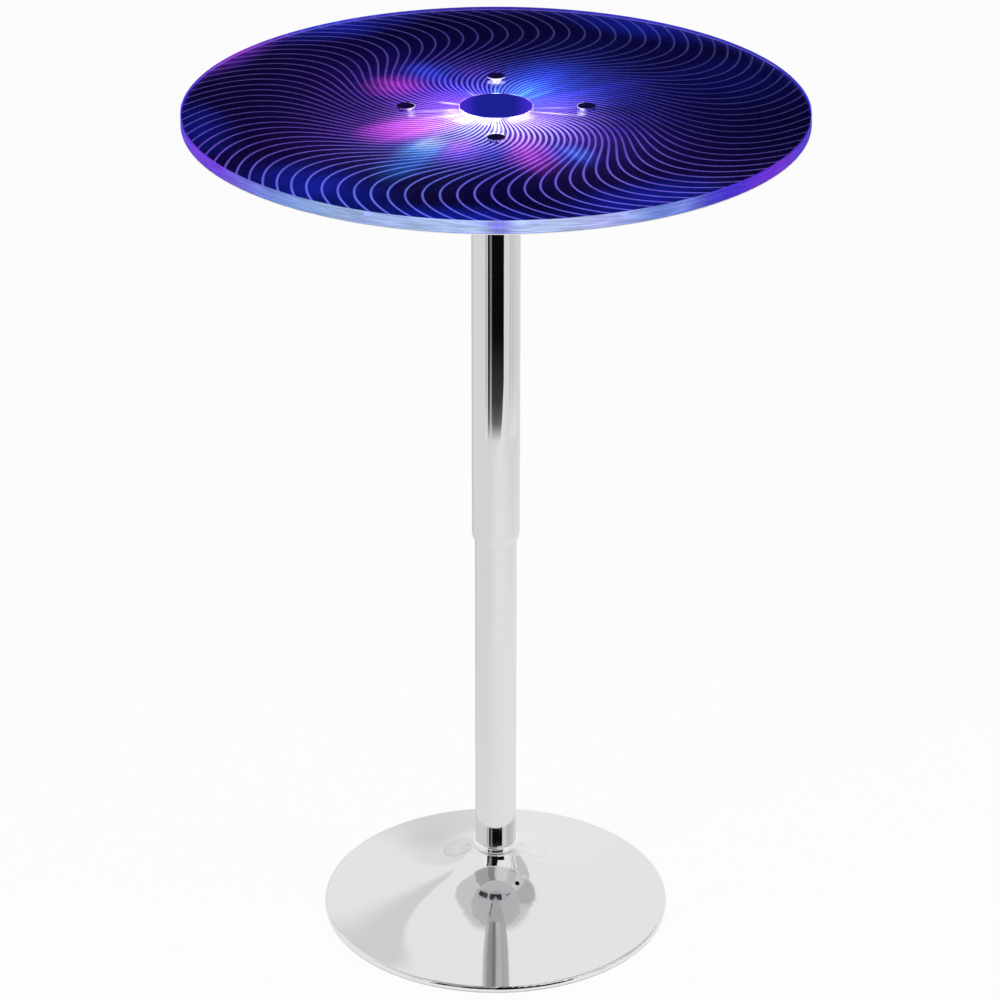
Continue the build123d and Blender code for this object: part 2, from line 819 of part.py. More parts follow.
# Glass disc with arrised edges, a centre hole and four countersunk clamp holes
with BuildPart() as glass_top:
    with BuildSketch(Plane.XY.offset(glass_bottom)):
        Circle(top_radius)
        Circle(centre_hole_diameter / 2, mode=Mode.SUBTRACT)
    extrude(amount=glass_thickness)
    glass_rims = glass_top.edges().filter_by(GeomType.CIRCLE).group_by(SortBy.RADIUS)[-1]
    chamfer(glass_rims, length=glass_arris)
    with BuildSketch(Plane.XY.offset(cone_top)):
        with PolarLocations(bolt_circle / 2, bolt_count):
            Circle(bolt_hole_radius)
    extrude(amount=bolt_hole_straight + cut_overrun, mode=Mode.SUBTRACT)
    with BuildSketch(Plane.XY.offset(glass_bottom - cut_overrun)):
        with PolarLocations(bolt_circle / 2, bolt_count):
            Circle(bolt_neck_radius)
    extrude(amount=glass_thickness + cut_overrun, mode=Mode.SUBTRACT)
    with Locations(Plane.XY.offset(cone_bottom)):
        with PolarLocations(bolt_circle / 2, bolt_count):
            Cone(
                bolt_neck_radius,
                bolt_hole_radius,
                bolt_cone_height,
                align=(Align.CENTER, Align.CENTER, Align.MIN),
                mode=Mode.SUBTRACT,
            )
finish(glass_top, "glass_top")

# Dark panel under the glass
with BuildPart() as backing_panel:
    with BuildSketch(Plane.XY.offset(backing_bottom)):
        Circle(top_radius - backing_inset)
        Circle(backing_hole_diameter / 2, mode=Mode.SUBTRACT)
        with PolarLocations(bolt_circle / 2, bolt_count):
            Circle(bolt_neck_radius, mode=Mode.SUBTRACT)
    extrude(amount=backing_thickness)
finish(backing_panel, "backing_panel")

# Conical sleeves that seat in the countersinks and stand on the rubber washers
sleeve_neck = bolt_neck_radius - sleeve_gap
sleeve_head = bolt_hole_radius - sleeve_gap
with BuildPart() as bolt_sleeves:
    with BuildSketch(Plane.XZ):
        with BuildLine():
            bolt_place = bolt_circle / 2
            sleeve_bore = bolt_diameter / 2 + assembly_gap
            Polyline(
                (bolt_place + sleeve_bore, backing_bottom),
                (bolt_place + sleeve_neck, backing_bottom),
                (bolt_place + sleeve_neck, cone_bottom),
                (bolt_place + sleeve_head, cone_top),
                (bolt_place + sleeve_bore, cone_top),
                close=True,
            )
        make_face()
    revolve(axis=Axis((bolt_place, 0, 0), (0, 0, 1)))
    one_sleeve = bolt_sleeves.part
    with PolarLocations(0, bolt_count):
        add(one_sleeve, mode=Mode.ADD)
finish(bolt_sleeves, "bolt_sleeves")

# Clamp bolts with thin flat heads
with BuildPart() as plate_bolts:
    with BuildSketch(Plane.XY.offset(cone_top)):
        with PolarLocations(bolt_circle / 2, bolt_count):
            Circle(bolt_head_diameter / 2)
    extrude(amount=bolt_head_height)
    with BuildSketch(Plane.XY.offset(bolt_end)):
        with PolarLocations(bolt_circle / 2, bolt_count):
            Circle(bolt_diameter / 2)
    extrude(amount=cone_top - bolt_end)
    with BuildSketch(Plane.XY.offset(bolt_top - bolt_socket_depth)):
        with PolarLocations(bolt_circle / 2, bolt_count):
            RegularPolygon(bolt_socket / 2, 6, major_radius=False)
    extrude(amount=bolt_socket_depth, mode=Mode.SUBTRACT)
finish(plate_bolts, "plate_bolts")

# Hexagon nuts under the plate
with BuildPart() as plate_nuts:
    with BuildSketch(Plane.XY.offset(plate_bottom - nut_height)):
        with PolarLocations(bolt_circle / 2, bolt_count):
            RegularPolygon(nut_across_flats / 2, 6, major_radius=False)
            Circle(bolt_diameter / 2 + assembly_gap / 2, mode=Mode.SUBTRACT)
    extrude(amount=nut_height)
finish(plate_nuts, "plate_nuts")

# Dark caps over the bolt heads, flush with the glass
with BuildPart() as bolt_caps:
    with BuildSketch(Plane.XY.offset(cone_top)):
        with PolarLocations(bolt_circle / 2, bolt_count):
            Circle(bolt_hole_radius - sleeve_gap)
    extrude(amount=bolt_hole_straight)
    chamfer(bolt_caps.edges().group_by(Axis.Z)[-1], length=cap_edge)
    with BuildSketch(Plane.XY.offset(cone_top)):
        with PolarLocations(bolt_circle / 2, bolt_count):
            Circle(bolt_head_diameter / 2 + assembly_gap)
    extrude(amount=bolt_hole_straight - cap_top, mode=Mode.SUBTRACT)
finish(bolt_caps, "bolt_caps")

# Light carrier: an upturned cup on the plate with bosses for its screws
centre_cap_level = table_height - centre_cap_thickness
carrier_bore = carrier_radius - carrier_wall
with BuildPart() as led_carrier:
    with BuildSketch(Plane.XY.offset(plate_top)):
        Circle(carrier_radius)
    extrude(amount=centre_cap_level - plate_top)
    with BuildSketch(Plane.XY.offset(plate_top)):
        Circle(carrier_bore)
    extrude(
        amount=centre_cap_level - plate_top - carrier_wall - centre_cap_spigot, mode=Mode.SUBTRACT
    )
    with BuildSketch(Plane.XY.offset(centre_cap_level - centre_cap_spigot)):
        Circle(carrier_bore)
    extrude(amount=centre_cap_spigot, mode=Mode.SUBTRACT)
    with BuildSketch(Plane.XY.offset(plate_top)):
        with PolarLocations(carrier_screw_circle / 2, carrier_screw_count, carrier_screw_turn):
            Circle(carrier_boss_diameter / 2)
    extrude(amount=centre_cap_level - plate_top - carrier_wall - centre_cap_spigot)
    with BuildSketch(Plane.XY.offset(plate_top)):
        with PolarLocations(carrier_screw_circle / 2, carrier_screw_count, carrier_screw_turn):
            Circle(carrier_screw_diameter / 2 + assembly_gap)
    extrude(amount=carrier_screw_depth + assembly_gap, mode=Mode.SUBTRACT)
finish(led_carrier, "led_carrier")

# Screws that hold the carrier to the plate, from below
with BuildPart() as carrier_screws:
    with BuildSketch(Plane.XY.offset(plate_bottom - carrier_screw_head_height)):
        with PolarLocations(carrier_screw_circle / 2, carrier_screw_count, carrier_screw_turn):
            Circle(carrier_screw_head_diameter / 2)
    extrude(amount=carrier_screw_head_height)
    with BuildSketch(Plane.XY.offset(plate_bottom)):
        with PolarLocations(carrier_screw_circle / 2, carrier_screw_count, carrier_screw_turn):
            Circle(carrier_screw_diameter / 2)
    extrude(amount=plate_thickness + carrier_screw_depth)
finish(carrier_screws, "carrier_screws")

# Dark cap over the light unit, with a spigot into the carrier
with BuildPart() as centre_cap:
    with BuildSketch(Plane.XY.offset(centre_cap_level)):
        Circle(centre_cap_diameter / 2)
    extrude(amount=centre_cap_thickness)
    chamfer(centre_cap.edges().group_by(Axis.Z)[-1], length=centre_cap_edge)
    with BuildSketch(Plane.XY.offset(centre_cap_level - centre_cap_spigot)):
        Circle(carrier_bore - assembly_gap)
        Circle(carrier_bore - assembly_gap - carrier_wall, mode=Mode.SUBTRACT)
    extrude(amount=centre_cap_spigot)
finish(centre_cap, "centre_cap")

# Flexible strip round the carrier
strip_top = centre_cap_level - strip_drop
strip_inner = carrier_radius + assembly_gap / 2
strip_outer = strip_inner + strip_thickness
with BuildPart() as led_strip:
    with BuildSketch(Plane.XY.offset(strip_top - strip_width)):
        Circle(strip_outer)
        Circle(strip_inner, mode=Mode.SUBTRACT)
    extrude(amount=strip_width)
finish(led_strip, "led_strip")

# Twelve light packages on the strip, each with a round lens facing the glass
led_level = strip_top - strip_width / 2
led_turns = [360 * number / led_count for number in range(led_count)]
led_planes = [radial_plane(turn, strip_outer, led_level) for turn in led_turns]
lens_planes = [radial_plane(turn, strip_outer + led_depth, led_level) for turn in led_turns]
with BuildPart() as leds:
    with BuildSketch(*led_planes):
        Rectangle(led_size, led_size)
    extrude(amount=led_depth)
    with BuildSketch(*lens_planes):
        Circle(led_lens_diameter / 2)
    extrude(amount=led_lens_depth)
finish(leds, "leds")

# Release lever: a bent bar with a boss round its pivot pin
lever_start = -lever_inner_reach
knee_start = lever_pivot_offset + lever_knee
knee_end = knee_start + lever_drop_run
lever_route = [
    (lever_start, 0, lever_level),
    (knee_start, 0, lever_level),
    (knee_end, 0, lever_arm_level),
    (lever_reach, 0, lever_arm_level),
]
with BuildPart() as release_lever:
    with BuildLine():
        lever_path = FilletPolyline(*lever_route, radius=lever_bend_radius)
    with BuildSketch(Plane(origin=lever_path @ 0, z_dir=lever_path % 0)):
        Circle(lever_diameter / 2)
    sweep(path=lever_path)
    with BuildSketch(Plane.XZ.offset(-lever_boss_width / 2)):
        with Locations((lever_pivot_offset, lever_level)):
            Circle(lever_boss_diameter / 2)
    extrude(amount=lever_boss_width)
    with BuildSketch(Plane.XZ.offset(-lever_boss_width)):
        with Locations((lever_pivot_offset, lever_level)):
            Circle(lever_pivot_diameter / 2 + running_gap)
    extrude(amount=lever_boss_width * 2, mode=Mode.SUBTRACT)
finish(release_lever, "release_lever")

# Ribbed grip pushed over the lever's outer end
grip_start = lever_reach + grip_overhang - grip_length
grip_radius = lever_diameter / 2 + grip_wall
rib_pitch = (grip_length / 2) / grip_rib_count
rib_starts = [grip_start + rib_pitch * (number + 1) for number in range(grip_rib_count)]
with BuildPart() as lever_grip:
    with BuildSketch(Plane.YZ.offset(grip_start)):
        with Locations((0, lever_arm_level)):
            Circle(grip_radius)
    extrude(amount=grip_length)
    fillet(lever_grip.edges(), radius=grip_round)
    with BuildSketch(Plane.YZ.offset(grip_start - cut_overrun)):
        with Locations((0, lever_arm_level)):
            Circle(lever_diameter / 2 + assembly_gap / 2)
    extrude(amount=lever_reach - grip_start + cut_overrun, mode=Mode.SUBTRACT)
    with BuildSketch(*[Plane.YZ.offset(start) for start in rib_starts]):
        with Locations((0, lever_arm_level)):
            Circle(grip_radius + cut_overrun)
            Circle(grip_radius - grip_rib_depth, mode=Mode.SUBTRACT)
    extrude(amount=grip_rib_width, mode=Mode.SUBTRACT)
finish(lever_grip, "lever_grip")

# Control box: an upturned tray taped to the panel
box_top = backing_bottom - tape_thickness
box_bottom = box_top - box_height
box_centre = -(box_near_end + box_length / 2)
box_far = -(box_near_end + box_length)
lid_bottom = box_bottom
lid_top = lid_bottom + lid_thickness
box_ceiling = box_top - box_wall
chamber_start = box_far + box_wall
rib_start = chamber_start + battery_length + (contact_sheet + contact_bump) * 2
board_start = rib_start + rib_thickness + board_gap
board_end = -box_near_end - box_wall - board_gap
board_top = box_ceiling - board_stand
board_bottom = board_top - board_thickness
board_middle = (board_start + board_end) / 2
screw_reach_x = box_length / 2 - box_screw_inset
screw_reach_y = box_width / 2 - box_screw_inset
post_places = [
    (board_middle + side * ((board_end - board_start) / 2 - board_post_inset), 0)
    for side in (-1, 1)
]
with BuildPart() as control_box:
    with BuildSketch(Plane.XY.offset(lid_top)):
        with Locations((box_centre, 0)):
            RectangleRounded(box_length, box_width, box_corner)
    extrude(amount=box_top - lid_top)
    with BuildSketch(Plane.XY.offset(lid_top)):
        with Locations((box_centre, 0)):
            RectangleRounded(
                box_length - box_wall * 2, box_width - box_wall * 2, box_corner - box_wall
            )
    extrude(amount=box_ceiling - lid_top, mode=Mode.SUBTRACT)
    with BuildSketch(Plane.XY.offset(lid_top)):
        with Locations((rib_start + rib_thickness / 2, 0)):
            Rectangle(rib_thickness, box_width - box_wall)
    extrude(amount=box_ceiling - lid_top)
    with BuildSketch(Plane.XY.offset(lid_top)):
        with Locations((box_centre, 0)):
            with GridLocations(screw_reach_x * 2, screw_reach_y * 2, 2, 2):
                Circle(box_screw_boss / 2)
    extrude(amount=box_ceiling - lid_top)
    with BuildSketch(Plane.XY.offset(board_top)):
        with Locations(*post_places):
            Circle(board_post_diameter / 2)
    extrude(amount=board_stand)
    with BuildSketch(Plane.XY.offset(lid_top)):
        with Locations((box_centre, 0)):
            with GridLocations(screw_reach_x * 2, screw_reach_y * 2, 2, 2):
                Circle(box_screw_diameter / 2 + assembly_gap)
    extrude(amount=(box_ceiling - lid_top) / 2, mode=Mode.SUBTRACT)
    with BuildSketch(Plane.YZ.offset(-box_near_end - box_wall - board_gap)):
        with Locations((lead_offset, plate_bottom - lead_drop)):
            Circle(lead_diameter / 2 + assembly_gap)
    extrude(amount=box_wall + board_gap + cut_overrun, mode=Mode.SUBTRACT)
finish(control_box, "control_box")

# Strips of tape between the box and the panel
tape_spread = box_width - tape_width - tape_inset * 2
with BuildPart() as tape_pads:
    with BuildSketch(Plane.XY.offset(box_top)):
        with Locations((box_centre, 0)):
            with GridLocations(tape_length, tape_spread, 1, 2):
                Rectangle(tape_length, tape_width)
    extrude(amount=tape_thickness)
finish(tape_pads, "tape_pads")

# Lid with a slot for the sliding battery cover, a button hole and screw holes
slot_end = box_far + battery_cover_length + loose_gap
slot_length = slot_end - box_far + cut_overrun
tongue_level = lid_bottom + (lid_thickness - cover_tongue_height) / 2
with BuildPart() as box_lid:
    with BuildSketch(Plane.XY.offset(lid_bottom)):
        with Locations((box_centre, 0)):
            RectangleRounded(box_length, box_width, box_corner)
        with Locations((slot_end - slot_length / 2, 0)):
            Rectangle(slot_length, cover_slot_width - cover_tongue * 2, mode=Mode.SUBTRACT)
        with Locations((-button_offset, 0)):
            Circle(button_diameter / 2 + loose_gap, mode=Mode.SUBTRACT)
        with Locations((box_centre, 0)):
            with GridLocations(screw_reach_x * 2, screw_reach_y * 2, 2, 2):
                Circle(box_screw_diameter / 2 + assembly_gap, mode=Mode.SUBTRACT)
    extrude(amount=lid_thickness)
    with BuildSketch(Plane.XY.offset(tongue_level - loose_gap / 2)):
        with Locations((slot_end - slot_length / 2, 0)):
            Rectangle(slot_length, cover_slot_width)
    extrude(amount=cover_tongue_height + loose_gap, mode=Mode.SUBTRACT)
finish(box_lid, "box_lid")

# Sliding battery cover with a tongue on each side and finger ribs
cover_middle = box_far + battery_cover_length / 2
rib_middle = box_far + battery_cover_length / 4
with BuildPart() as battery_cover:
    with BuildSketch(Plane.XY.offset(lid_bottom)):
        with Locations((cover_middle, 0)):
            Rectangle(battery_cover_length, cover_slot_width - (cover_tongue + loose_gap) * 2)
    extrude(amount=lid_thickness - loose_gap)
    with BuildSketch(Plane.XY.offset(tongue_level)):
        with Locations((cover_middle, 0)):
            Rectangle(battery_cover_length, cover_slot_width - loose_gap * 2)
    extrude(amount=cover_tongue_height)
    with BuildSketch(Plane.XY.offset(lid_bottom - cover_grip_depth)):
        with Locations((rib_middle, 0)):
            with GridLocations(cover_grip_pitch, cover_grip_length, cover_grip_count, 1):
                Rectangle(cover_grip_width, cover_grip_length)
    extrude(amount=cover_grip_depth)
finish(battery_cover, "battery_cover")

# Four screws that hold the lid
with BuildPart() as box_screws:
    with BuildSketch(Plane.XY.offset(lid_bottom - box_screw_head_height)):
        with Locations((box_centre, 0)):
            with GridLocations(screw_reach_x * 2, screw_reach_y * 2, 2, 2):
                Circle(box_screw_head_diameter / 2)
    extrude(amount=box_screw_head_height)
    with BuildSketch(Plane.XY.offset(lid_bottom)):
        with Locations((box_centre, 0)):
            with GridLocations(screw_reach_x * 2, screw_reach_y * 2, 2, 2):
                Circle(box_screw_diameter / 2)
    extrude(amount=lid_thickness + (box_ceiling - lid_top) / 2 - loose_gap)
finish(box_screws, "box_screws")

# Round cells side by side, with their end nubs
cell_start = chamber_start + contact_sheet + contact_bump
cell_level = box_ceiling - battery_diameter / 2 - assembly_gap
cell_places = [
    (battery_pitch * (number - (battery_count - 1) / 2), cell_level)
    for number in range(battery_count)
]
with BuildPart() as batteries:
    with BuildSketch(Plane.YZ.offset(cell_start)):
        with Locations(*cell_places):
            Circle(battery_diameter / 2)
    extrude(amount=battery_length - battery_nub_height)
    with BuildSketch(Plane.YZ.offset(cell_start + battery_length - battery_nub_height)):
        with Locations(*cell_places):
            Circle(battery_nub_diameter / 2)
    extrude(amount=battery_nub_height)
finish(batteries, "batteries")

# Contact plates at both ends of each cell, with a raised bump
with BuildPart() as battery_contacts:
    with BuildSketch(Plane.YZ.offset(chamber_start)):
        with Locations(*cell_places):
            Rectangle(contact_size, contact_size)
    extrude(amount=contact_sheet)
    with BuildSketch(Plane.YZ.offset(chamber_start + contact_sheet)):
        with Locations(*cell_places):
            Circle(contact_bump_diameter / 2)
    extrude(amount=contact_bump)
    with BuildSketch(Plane.YZ.offset(rib_start - contact_sheet)):
        with Locations(*cell_places):
            Rectangle(contact_size, contact_size)
    extrude(amount=contact_sheet)
    with BuildSketch(Plane.YZ.offset(rib_start - contact_sheet - contact_bump)):
        with Locations(*cell_places):
            Circle(contact_bump_diameter / 2)
    extrude(amount=contact_bump)
finish(battery_contacts, "battery_contacts")

# Circuit board on its posts, with two chips on its lower face
with BuildPart() as control_board:
    with BuildSketch(Plane.XY.offset(board_bottom)):
        with Locations((board_middle, 0)):
            Rectangle(board_end - board_start, board_width)
    extrude(amount=board_thickness)
    with BuildSketch(Plane.XY.offset(board_bottom - chip_height)):
        with Locations((board_middle, 0)):
            with GridLocations(chip_length, chip_spread * 2, 1, 2):
                Rectangle(chip_length, chip_width)
    extrude(amount=chip_height)
finish(control_board, "control_board")

# Push switch under the board, above the button
button_top = lid_top + assembly_gap + button_flange_height
switch_bottom = button_top + button_travel + loose_gap
with BuildPart() as button_switch:
    with BuildSketch(Plane.XY.offset(switch_bottom)):
        with Locations((-button_offset, 0)):
            Rectangle(switch_size, switch_size)
    extrude(amount=board_bottom - switch_bottom)
finish(button_switch, "button_switch")

# Button with an inner flange that keeps it in the lid
with BuildPart() as mode_button:
    with BuildSketch(Plane.XY.offset(lid_bottom - button_stand)):
        with Locations((-button_offset, 0)):
            Circle(button_diameter / 2)
    extrude(amount=lid_thickness + assembly_gap + button_stand)
    fillet(mode_button.edges().group_by(Axis.Z)[0], radius=button_dome)
    with BuildSketch(Plane.XY.offset(lid_top + assembly_gap)):
        with Locations((-button_offset, 0)):
            Circle(button_diameter / 2 + button_flange)
    extrude(amount=button_flange_height)
finish(mode_button, "mode_button")

# Lead from the board, along the plate's underside and up to the light carrier
lead_level = plate_bottom - lead_drop
lead_start = -box_near_end - box_wall - board_gap
lead_end = centre_cap_level - carrier_wall - centre_cap_spigot
lead_route = [
    (lead_start, lead_offset, lead_level),
    (-lead_rise_offset, lead_offset, lead_level),
    (-lead_rise_offset, lead_offset, lead_end),
]
with BuildPart() as led_lead:
    with BuildLine():
        lead_path = FilletPolyline(*lead_route, radius=lead_bend_radius)
    with BuildSketch(Plane(origin=lead_path @ 0, z_dir=lead_path % 0)):
        Circle(lead_diameter / 2)
    sweep(path=lead_path)
finish(led_lead, "led_lead")

# Clips that hold the lead to the plate
with BuildPart() as lead_clips:
    clip_height = lead_drop + lead_diameter / 2 + clip_block_foot
    with BuildSketch(Plane.XY.offset(plate_bottom - clip_height)):
        with Locations(*[(-station, lead_offset) for station in clip_stations]):
            Rectangle(clip_block_length, clip_block_width)
    extrude(amount=clip_height)
    with BuildSketch(Plane.YZ.offset(-max(clip_stations) - clip_block_length)):
        with Locations((lead_offset, lead_level)):
            Circle(lead_diameter / 2 + assembly_gap)
    extrude(amount=max(clip_stations) + clip_block_length, mode=Mode.SUBTRACT)
finish(lead_clips, "lead_clips")
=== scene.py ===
# %% [markdown]
# A light-up bar table: a clear glass disc with etched wavy rays over a dark panel, lit from a
# ring of small lights in its centre, on a chrome gas-lift column with a trumpet foot. The pieces
# were made in CAD and are loaded here as a fixed frame, in metres. This lesson gives them their
# finishes, adds the etched rays as real geometry, and builds a small white studio round them,
# because polished metal looks like whatever stands round it.

# %% Load the frame
import bpy
import json
from math import atan2, cos, degrees, exp, pi, radians, sin, tan
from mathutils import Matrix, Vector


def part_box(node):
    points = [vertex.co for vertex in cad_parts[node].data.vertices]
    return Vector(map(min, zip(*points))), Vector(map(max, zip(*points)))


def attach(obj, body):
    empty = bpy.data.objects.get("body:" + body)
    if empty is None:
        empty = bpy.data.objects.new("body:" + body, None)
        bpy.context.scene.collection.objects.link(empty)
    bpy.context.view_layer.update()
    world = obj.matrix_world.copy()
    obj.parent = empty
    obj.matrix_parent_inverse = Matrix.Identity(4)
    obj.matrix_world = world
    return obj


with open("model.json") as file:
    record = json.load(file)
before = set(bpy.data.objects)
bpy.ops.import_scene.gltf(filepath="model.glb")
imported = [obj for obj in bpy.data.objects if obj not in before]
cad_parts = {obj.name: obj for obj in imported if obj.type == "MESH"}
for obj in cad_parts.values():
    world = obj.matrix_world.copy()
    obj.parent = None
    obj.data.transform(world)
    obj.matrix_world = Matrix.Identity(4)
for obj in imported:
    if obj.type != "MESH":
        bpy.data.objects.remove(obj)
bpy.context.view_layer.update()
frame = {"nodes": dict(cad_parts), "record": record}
nodes = frame["nodes"]

# %% [markdown]
# The rays and the lights need a few places of the table. They are measured from the CAD pieces,
# so that they stay right if the table is made in another size. The four clamp caps lie on the
# main axes. The corners of the right one give its radius, and its outer end gives how far out the
# clamp holes are.

# %% Measure the glass, the panel, the light unit and the clamp holes
glass_low, glass_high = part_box("glass_top")
glass_radius = glass_high.x
panel_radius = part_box("backing_panel")[1].x
cap_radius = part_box("centre_cap")[1].x
clamp_corners = [corner.co for corner in nodes["bolt_caps"].data.vertices]
clamp_cap_radius = max(corner.y for corner in clamp_corners if corner.x > cap_radius)
clamp_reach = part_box("bolt_caps")[1].x - clamp_cap_radius
print("glass radius", round(glass_radius, 4), "clamp holes at", round(clamp_reach, 4))

# %% [markdown]
# Shader trees are long to write by hand, so a few helpers do the typing. add_node adds a node and
# fills its sockets with values or with other nodes' outputs. calculate is for sums, remap moves a
# value from one range to another, dim darkens a level where a mask is 1, and mix_colour blends
# two colours. open_group opens a node group with named inputs and outputs, which several
# materials can then share, and use_group places it.

# %% Helpers for shader trees
def fill_socket(tree, socket, value):
    if isinstance(value, bpy.types.NodeSocket):
        tree.links.new(value, socket)
    elif socket.type == "RGBA" and len(value) == 3:
        socket.default_value = (*value, 1.0)
    else:
        socket.default_value = value


def add_node(tree, kind, sockets=None, **settings):
    node = tree.nodes.new(kind)
    for name, value in settings.items():
        setattr(node, name, value)
    for name, value in (sockets or {}).items():
        fill_socket(tree, node.inputs[name], value)
    return node


def calculate(tree, operation, *terms, clamp=False):
    node = add_node(tree, "ShaderNodeMath", operation=operation, use_clamp=clamp)
    for socket, term in zip(node.inputs, terms):
        fill_socket(tree, socket, term)
    return node.outputs[0]


def remap(tree, value, low, high, to_low=0.0, to_high=1.0, smooth=True):
    sockets = {"Value": value, "From Min": low, "From Max": high}
    sockets.update({"To Min": to_low, "To Max": to_high})
    kind = "SMOOTHSTEP" if smooth else "LINEAR"
    return add_node(tree, "ShaderNodeMapRange", sockets, interpolation_type=kind).outputs[0]


def dim(tree, level, share, grey):
    """The level times grey where share is 1, and as it was where share is 0."""
    drop = calculate(tree, "SUBTRACT", grey, 1.0)
    return calculate(tree, "MULTIPLY", level, calculate(tree, "MULTIPLY_ADD", drop, share, 1.0))


def mix_colour(tree, share, first, second, blend="MIX"):
    node = add_node(tree, "ShaderNodeMix", data_type="RGBA", blend_type=blend)
    for name, value in (("Factor_Float", share), ("A_Color", first), ("B_Color", second)):
        socket = next(place for place in node.inputs if place.identifier == name)
        fill_socket(tree, socket, value)
    return next(place for place in node.outputs if place.identifier == "Result_Color")


def noise(tree, place, scale, detail):
    sockets = {"Vector": place, "Scale": scale, "Detail": detail}
    return add_node(tree, "ShaderNodeTexNoise", sockets).outputs["Fac"]


def object_place(tree):
    return add_node(tree, "ShaderNodeTexCoord").outputs["Object"]


def split(tree, vector):
    return add_node(tree, "ShaderNodeSeparateXYZ", {"Vector": vector}).outputs


def facing_up(tree):
    return split(tree, add_node(tree, "ShaderNodeNewGeometry").outputs["Normal"])["Z"]


def open_group(name, inputs, outputs):
    tree = bpy.data.node_groups.new(name, "ShaderNodeTree")
    for label, kind, value in inputs:
        tree.interface.new_socket(label, in_out="INPUT", socket_type=kind).default_value = value
    for label, kind in outputs:
        tree.interface.new_socket(label, in_out="OUTPUT", socket_type=kind)
    given = tree.nodes.new("NodeGroupInput").outputs
    return tree, given, tree.nodes.new("NodeGroupOutput").inputs


def use_group(tree, group, **values):
    node = add_node(tree, "ShaderNodeGroup", node_tree=group)
    for label, value in values.items():
        fill_socket(tree, node.inputs[label.replace("_", " ")], value)
    return node.outputs


NUMBER = "NodeSocketFloat"
COLOUR = "NodeSocketColor"
VECTOR = "NodeSocketVector"
BLACK = (0.0, 0.0, 0.0)
print("helpers ready")

# %% [markdown]
# Everything about the light turns round the middle of the glass, so one group gives the distance
# from that axis, the turn round it from 0 to 1, and the flat place with its height removed.
# Object coordinates are used, because they stay with the piece when the column turns.

# %% Group: place round the axis
def build_polar_group():
    outputs = [("Radius", NUMBER), ("Turn", NUMBER), ("Flat", VECTOR), ("Height", NUMBER)]
    tree, _, out = open_group("polar_place", [], outputs)
    parts = split(tree, object_place(tree))
    flat = add_node(tree, "ShaderNodeCombineXYZ", {"X": parts["X"], "Y": parts["Y"]}).outputs[0]
    radius = add_node(tree, "ShaderNodeVectorMath", {0: flat}, operation="LENGTH").outputs["Value"]
    angle = calculate(tree, "ARCTAN2", parts["Y"], parts["X"])
    turn = calculate(tree, "FRACT", calculate(tree, "DIVIDE", angle, 2 * pi))
    for (label, _), socket in zip(outputs, (radius, turn, flat, parts["Z"])):
        tree.links.new(socket, out[label])
    return tree


polar_place = build_polar_group()
print("group", polar_place.name, "nodes", len(polar_place.nodes))

# %% [markdown]
# The lights in the middle send many colours into the glass. On the real table they land as soft
# patches: magenta and cyan in front on the left, blue behind on the right, white where the light
# enters. Each patch is an oval: its angle, its distance from the middle, its length outwards and
# its breadth, all in degrees and millimetres, then its colour and strength.
# Between them lies a haze, with a colour for each turn round the axis, which fades outwards. A
# turn runs from 0 to 1, anticlockwise from the right, so 0.75 is the front.

# %% The soft patches of light
MILLIMETRE = 0.001
WHITE = (1.0, 0.95, 1.0)
CYAN = (0.08, 0.50, 1.0)
AZURE = (0.02, 0.20, 0.80)
BLUE = (0.015, 0.06, 0.80)
VIOLET = (0.24, 0.045, 0.85)
MAGENTA = (0.90, 0.06, 0.85)
NAVY = (0.004, 0.012, 0.26)
wide_patches = [
    (40, 92, 95, 95, BLUE, 0.25), (12, 62, 55, 45, VIOLET, 0.2), (62, 60, 45, 32, CYAN, 0.25),
    (180, 66, 60, 40, VIOLET, 0.25), (212, 98, 66, 42, MAGENTA, 0.95),
    (238, 126, 42, 30, CYAN, 0.5), (237, 112, 30, 18, WHITE, 0.32),
    (241, 168, 64, 30, AZURE, 0.5), (253, 120, 46, 38, VIOLET, 0.55),
    (250, 104, 34, 20, MAGENTA, 0.25), (270, 112, 34, 22, BLUE, 0.45),
    (68, 104, 70, 60, BLUE, 0.40), (284, 122, 70, 34, MAGENTA, 0.38),
    (300, 140, 46, 30, BLUE, 0.6), (302, 142, 30, 18, CYAN, 0.2),
    (146, 117, 42, 42, MAGENTA, 0.36), (122, 125, 45, 42, BLUE, 0.5),
    (98, 112, 40, 40, VIOLET, 0.12), (232, 262, 70, 120, NAVY, 1.2),
    (300, 272, 60, 110, NAVY, 1.2), (264, 284, 40, 130, NAVY, 1.2),
    (192, 284, 44, 110, NAVY, 0.8), (122, 284, 40, 110, NAVY, 0.9), (60, 282, 40, 130, NAVY, 0.9),
    (150, 292, 20, 80, VIOLET, 0.25), (20, 250, 80, 120, NAVY, 0.2),
]
entry_patches = [
    (208, 44, 19, 18, WHITE, 1.3), (230, 42, 16, 16, WHITE, 1.3), (256, 39, 12, 12, WHITE, 1.0),
    (272, 50, 24, 8, WHITE, 1.1), (300, 38, 9, 12, WHITE, 0.7), (322, 38, 10, 14, WHITE, 0.6),
    (190, 42, 14, 12, WHITE, 0.9), (62, 39, 10, 12, CYAN, 0.9), (90, 38, 9, 10, CYAN, 0.9),
    (135, 38, 9, 14, VIOLET, 0.7), (270, 68, 6, 13, WHITE, 1.2), (90, 78, 9, 11, WHITE, 1.4),
    (193, 82, 6, 7, WHITE, 0.9), (-9, 82, 6, 7, WHITE, 0.9),
]
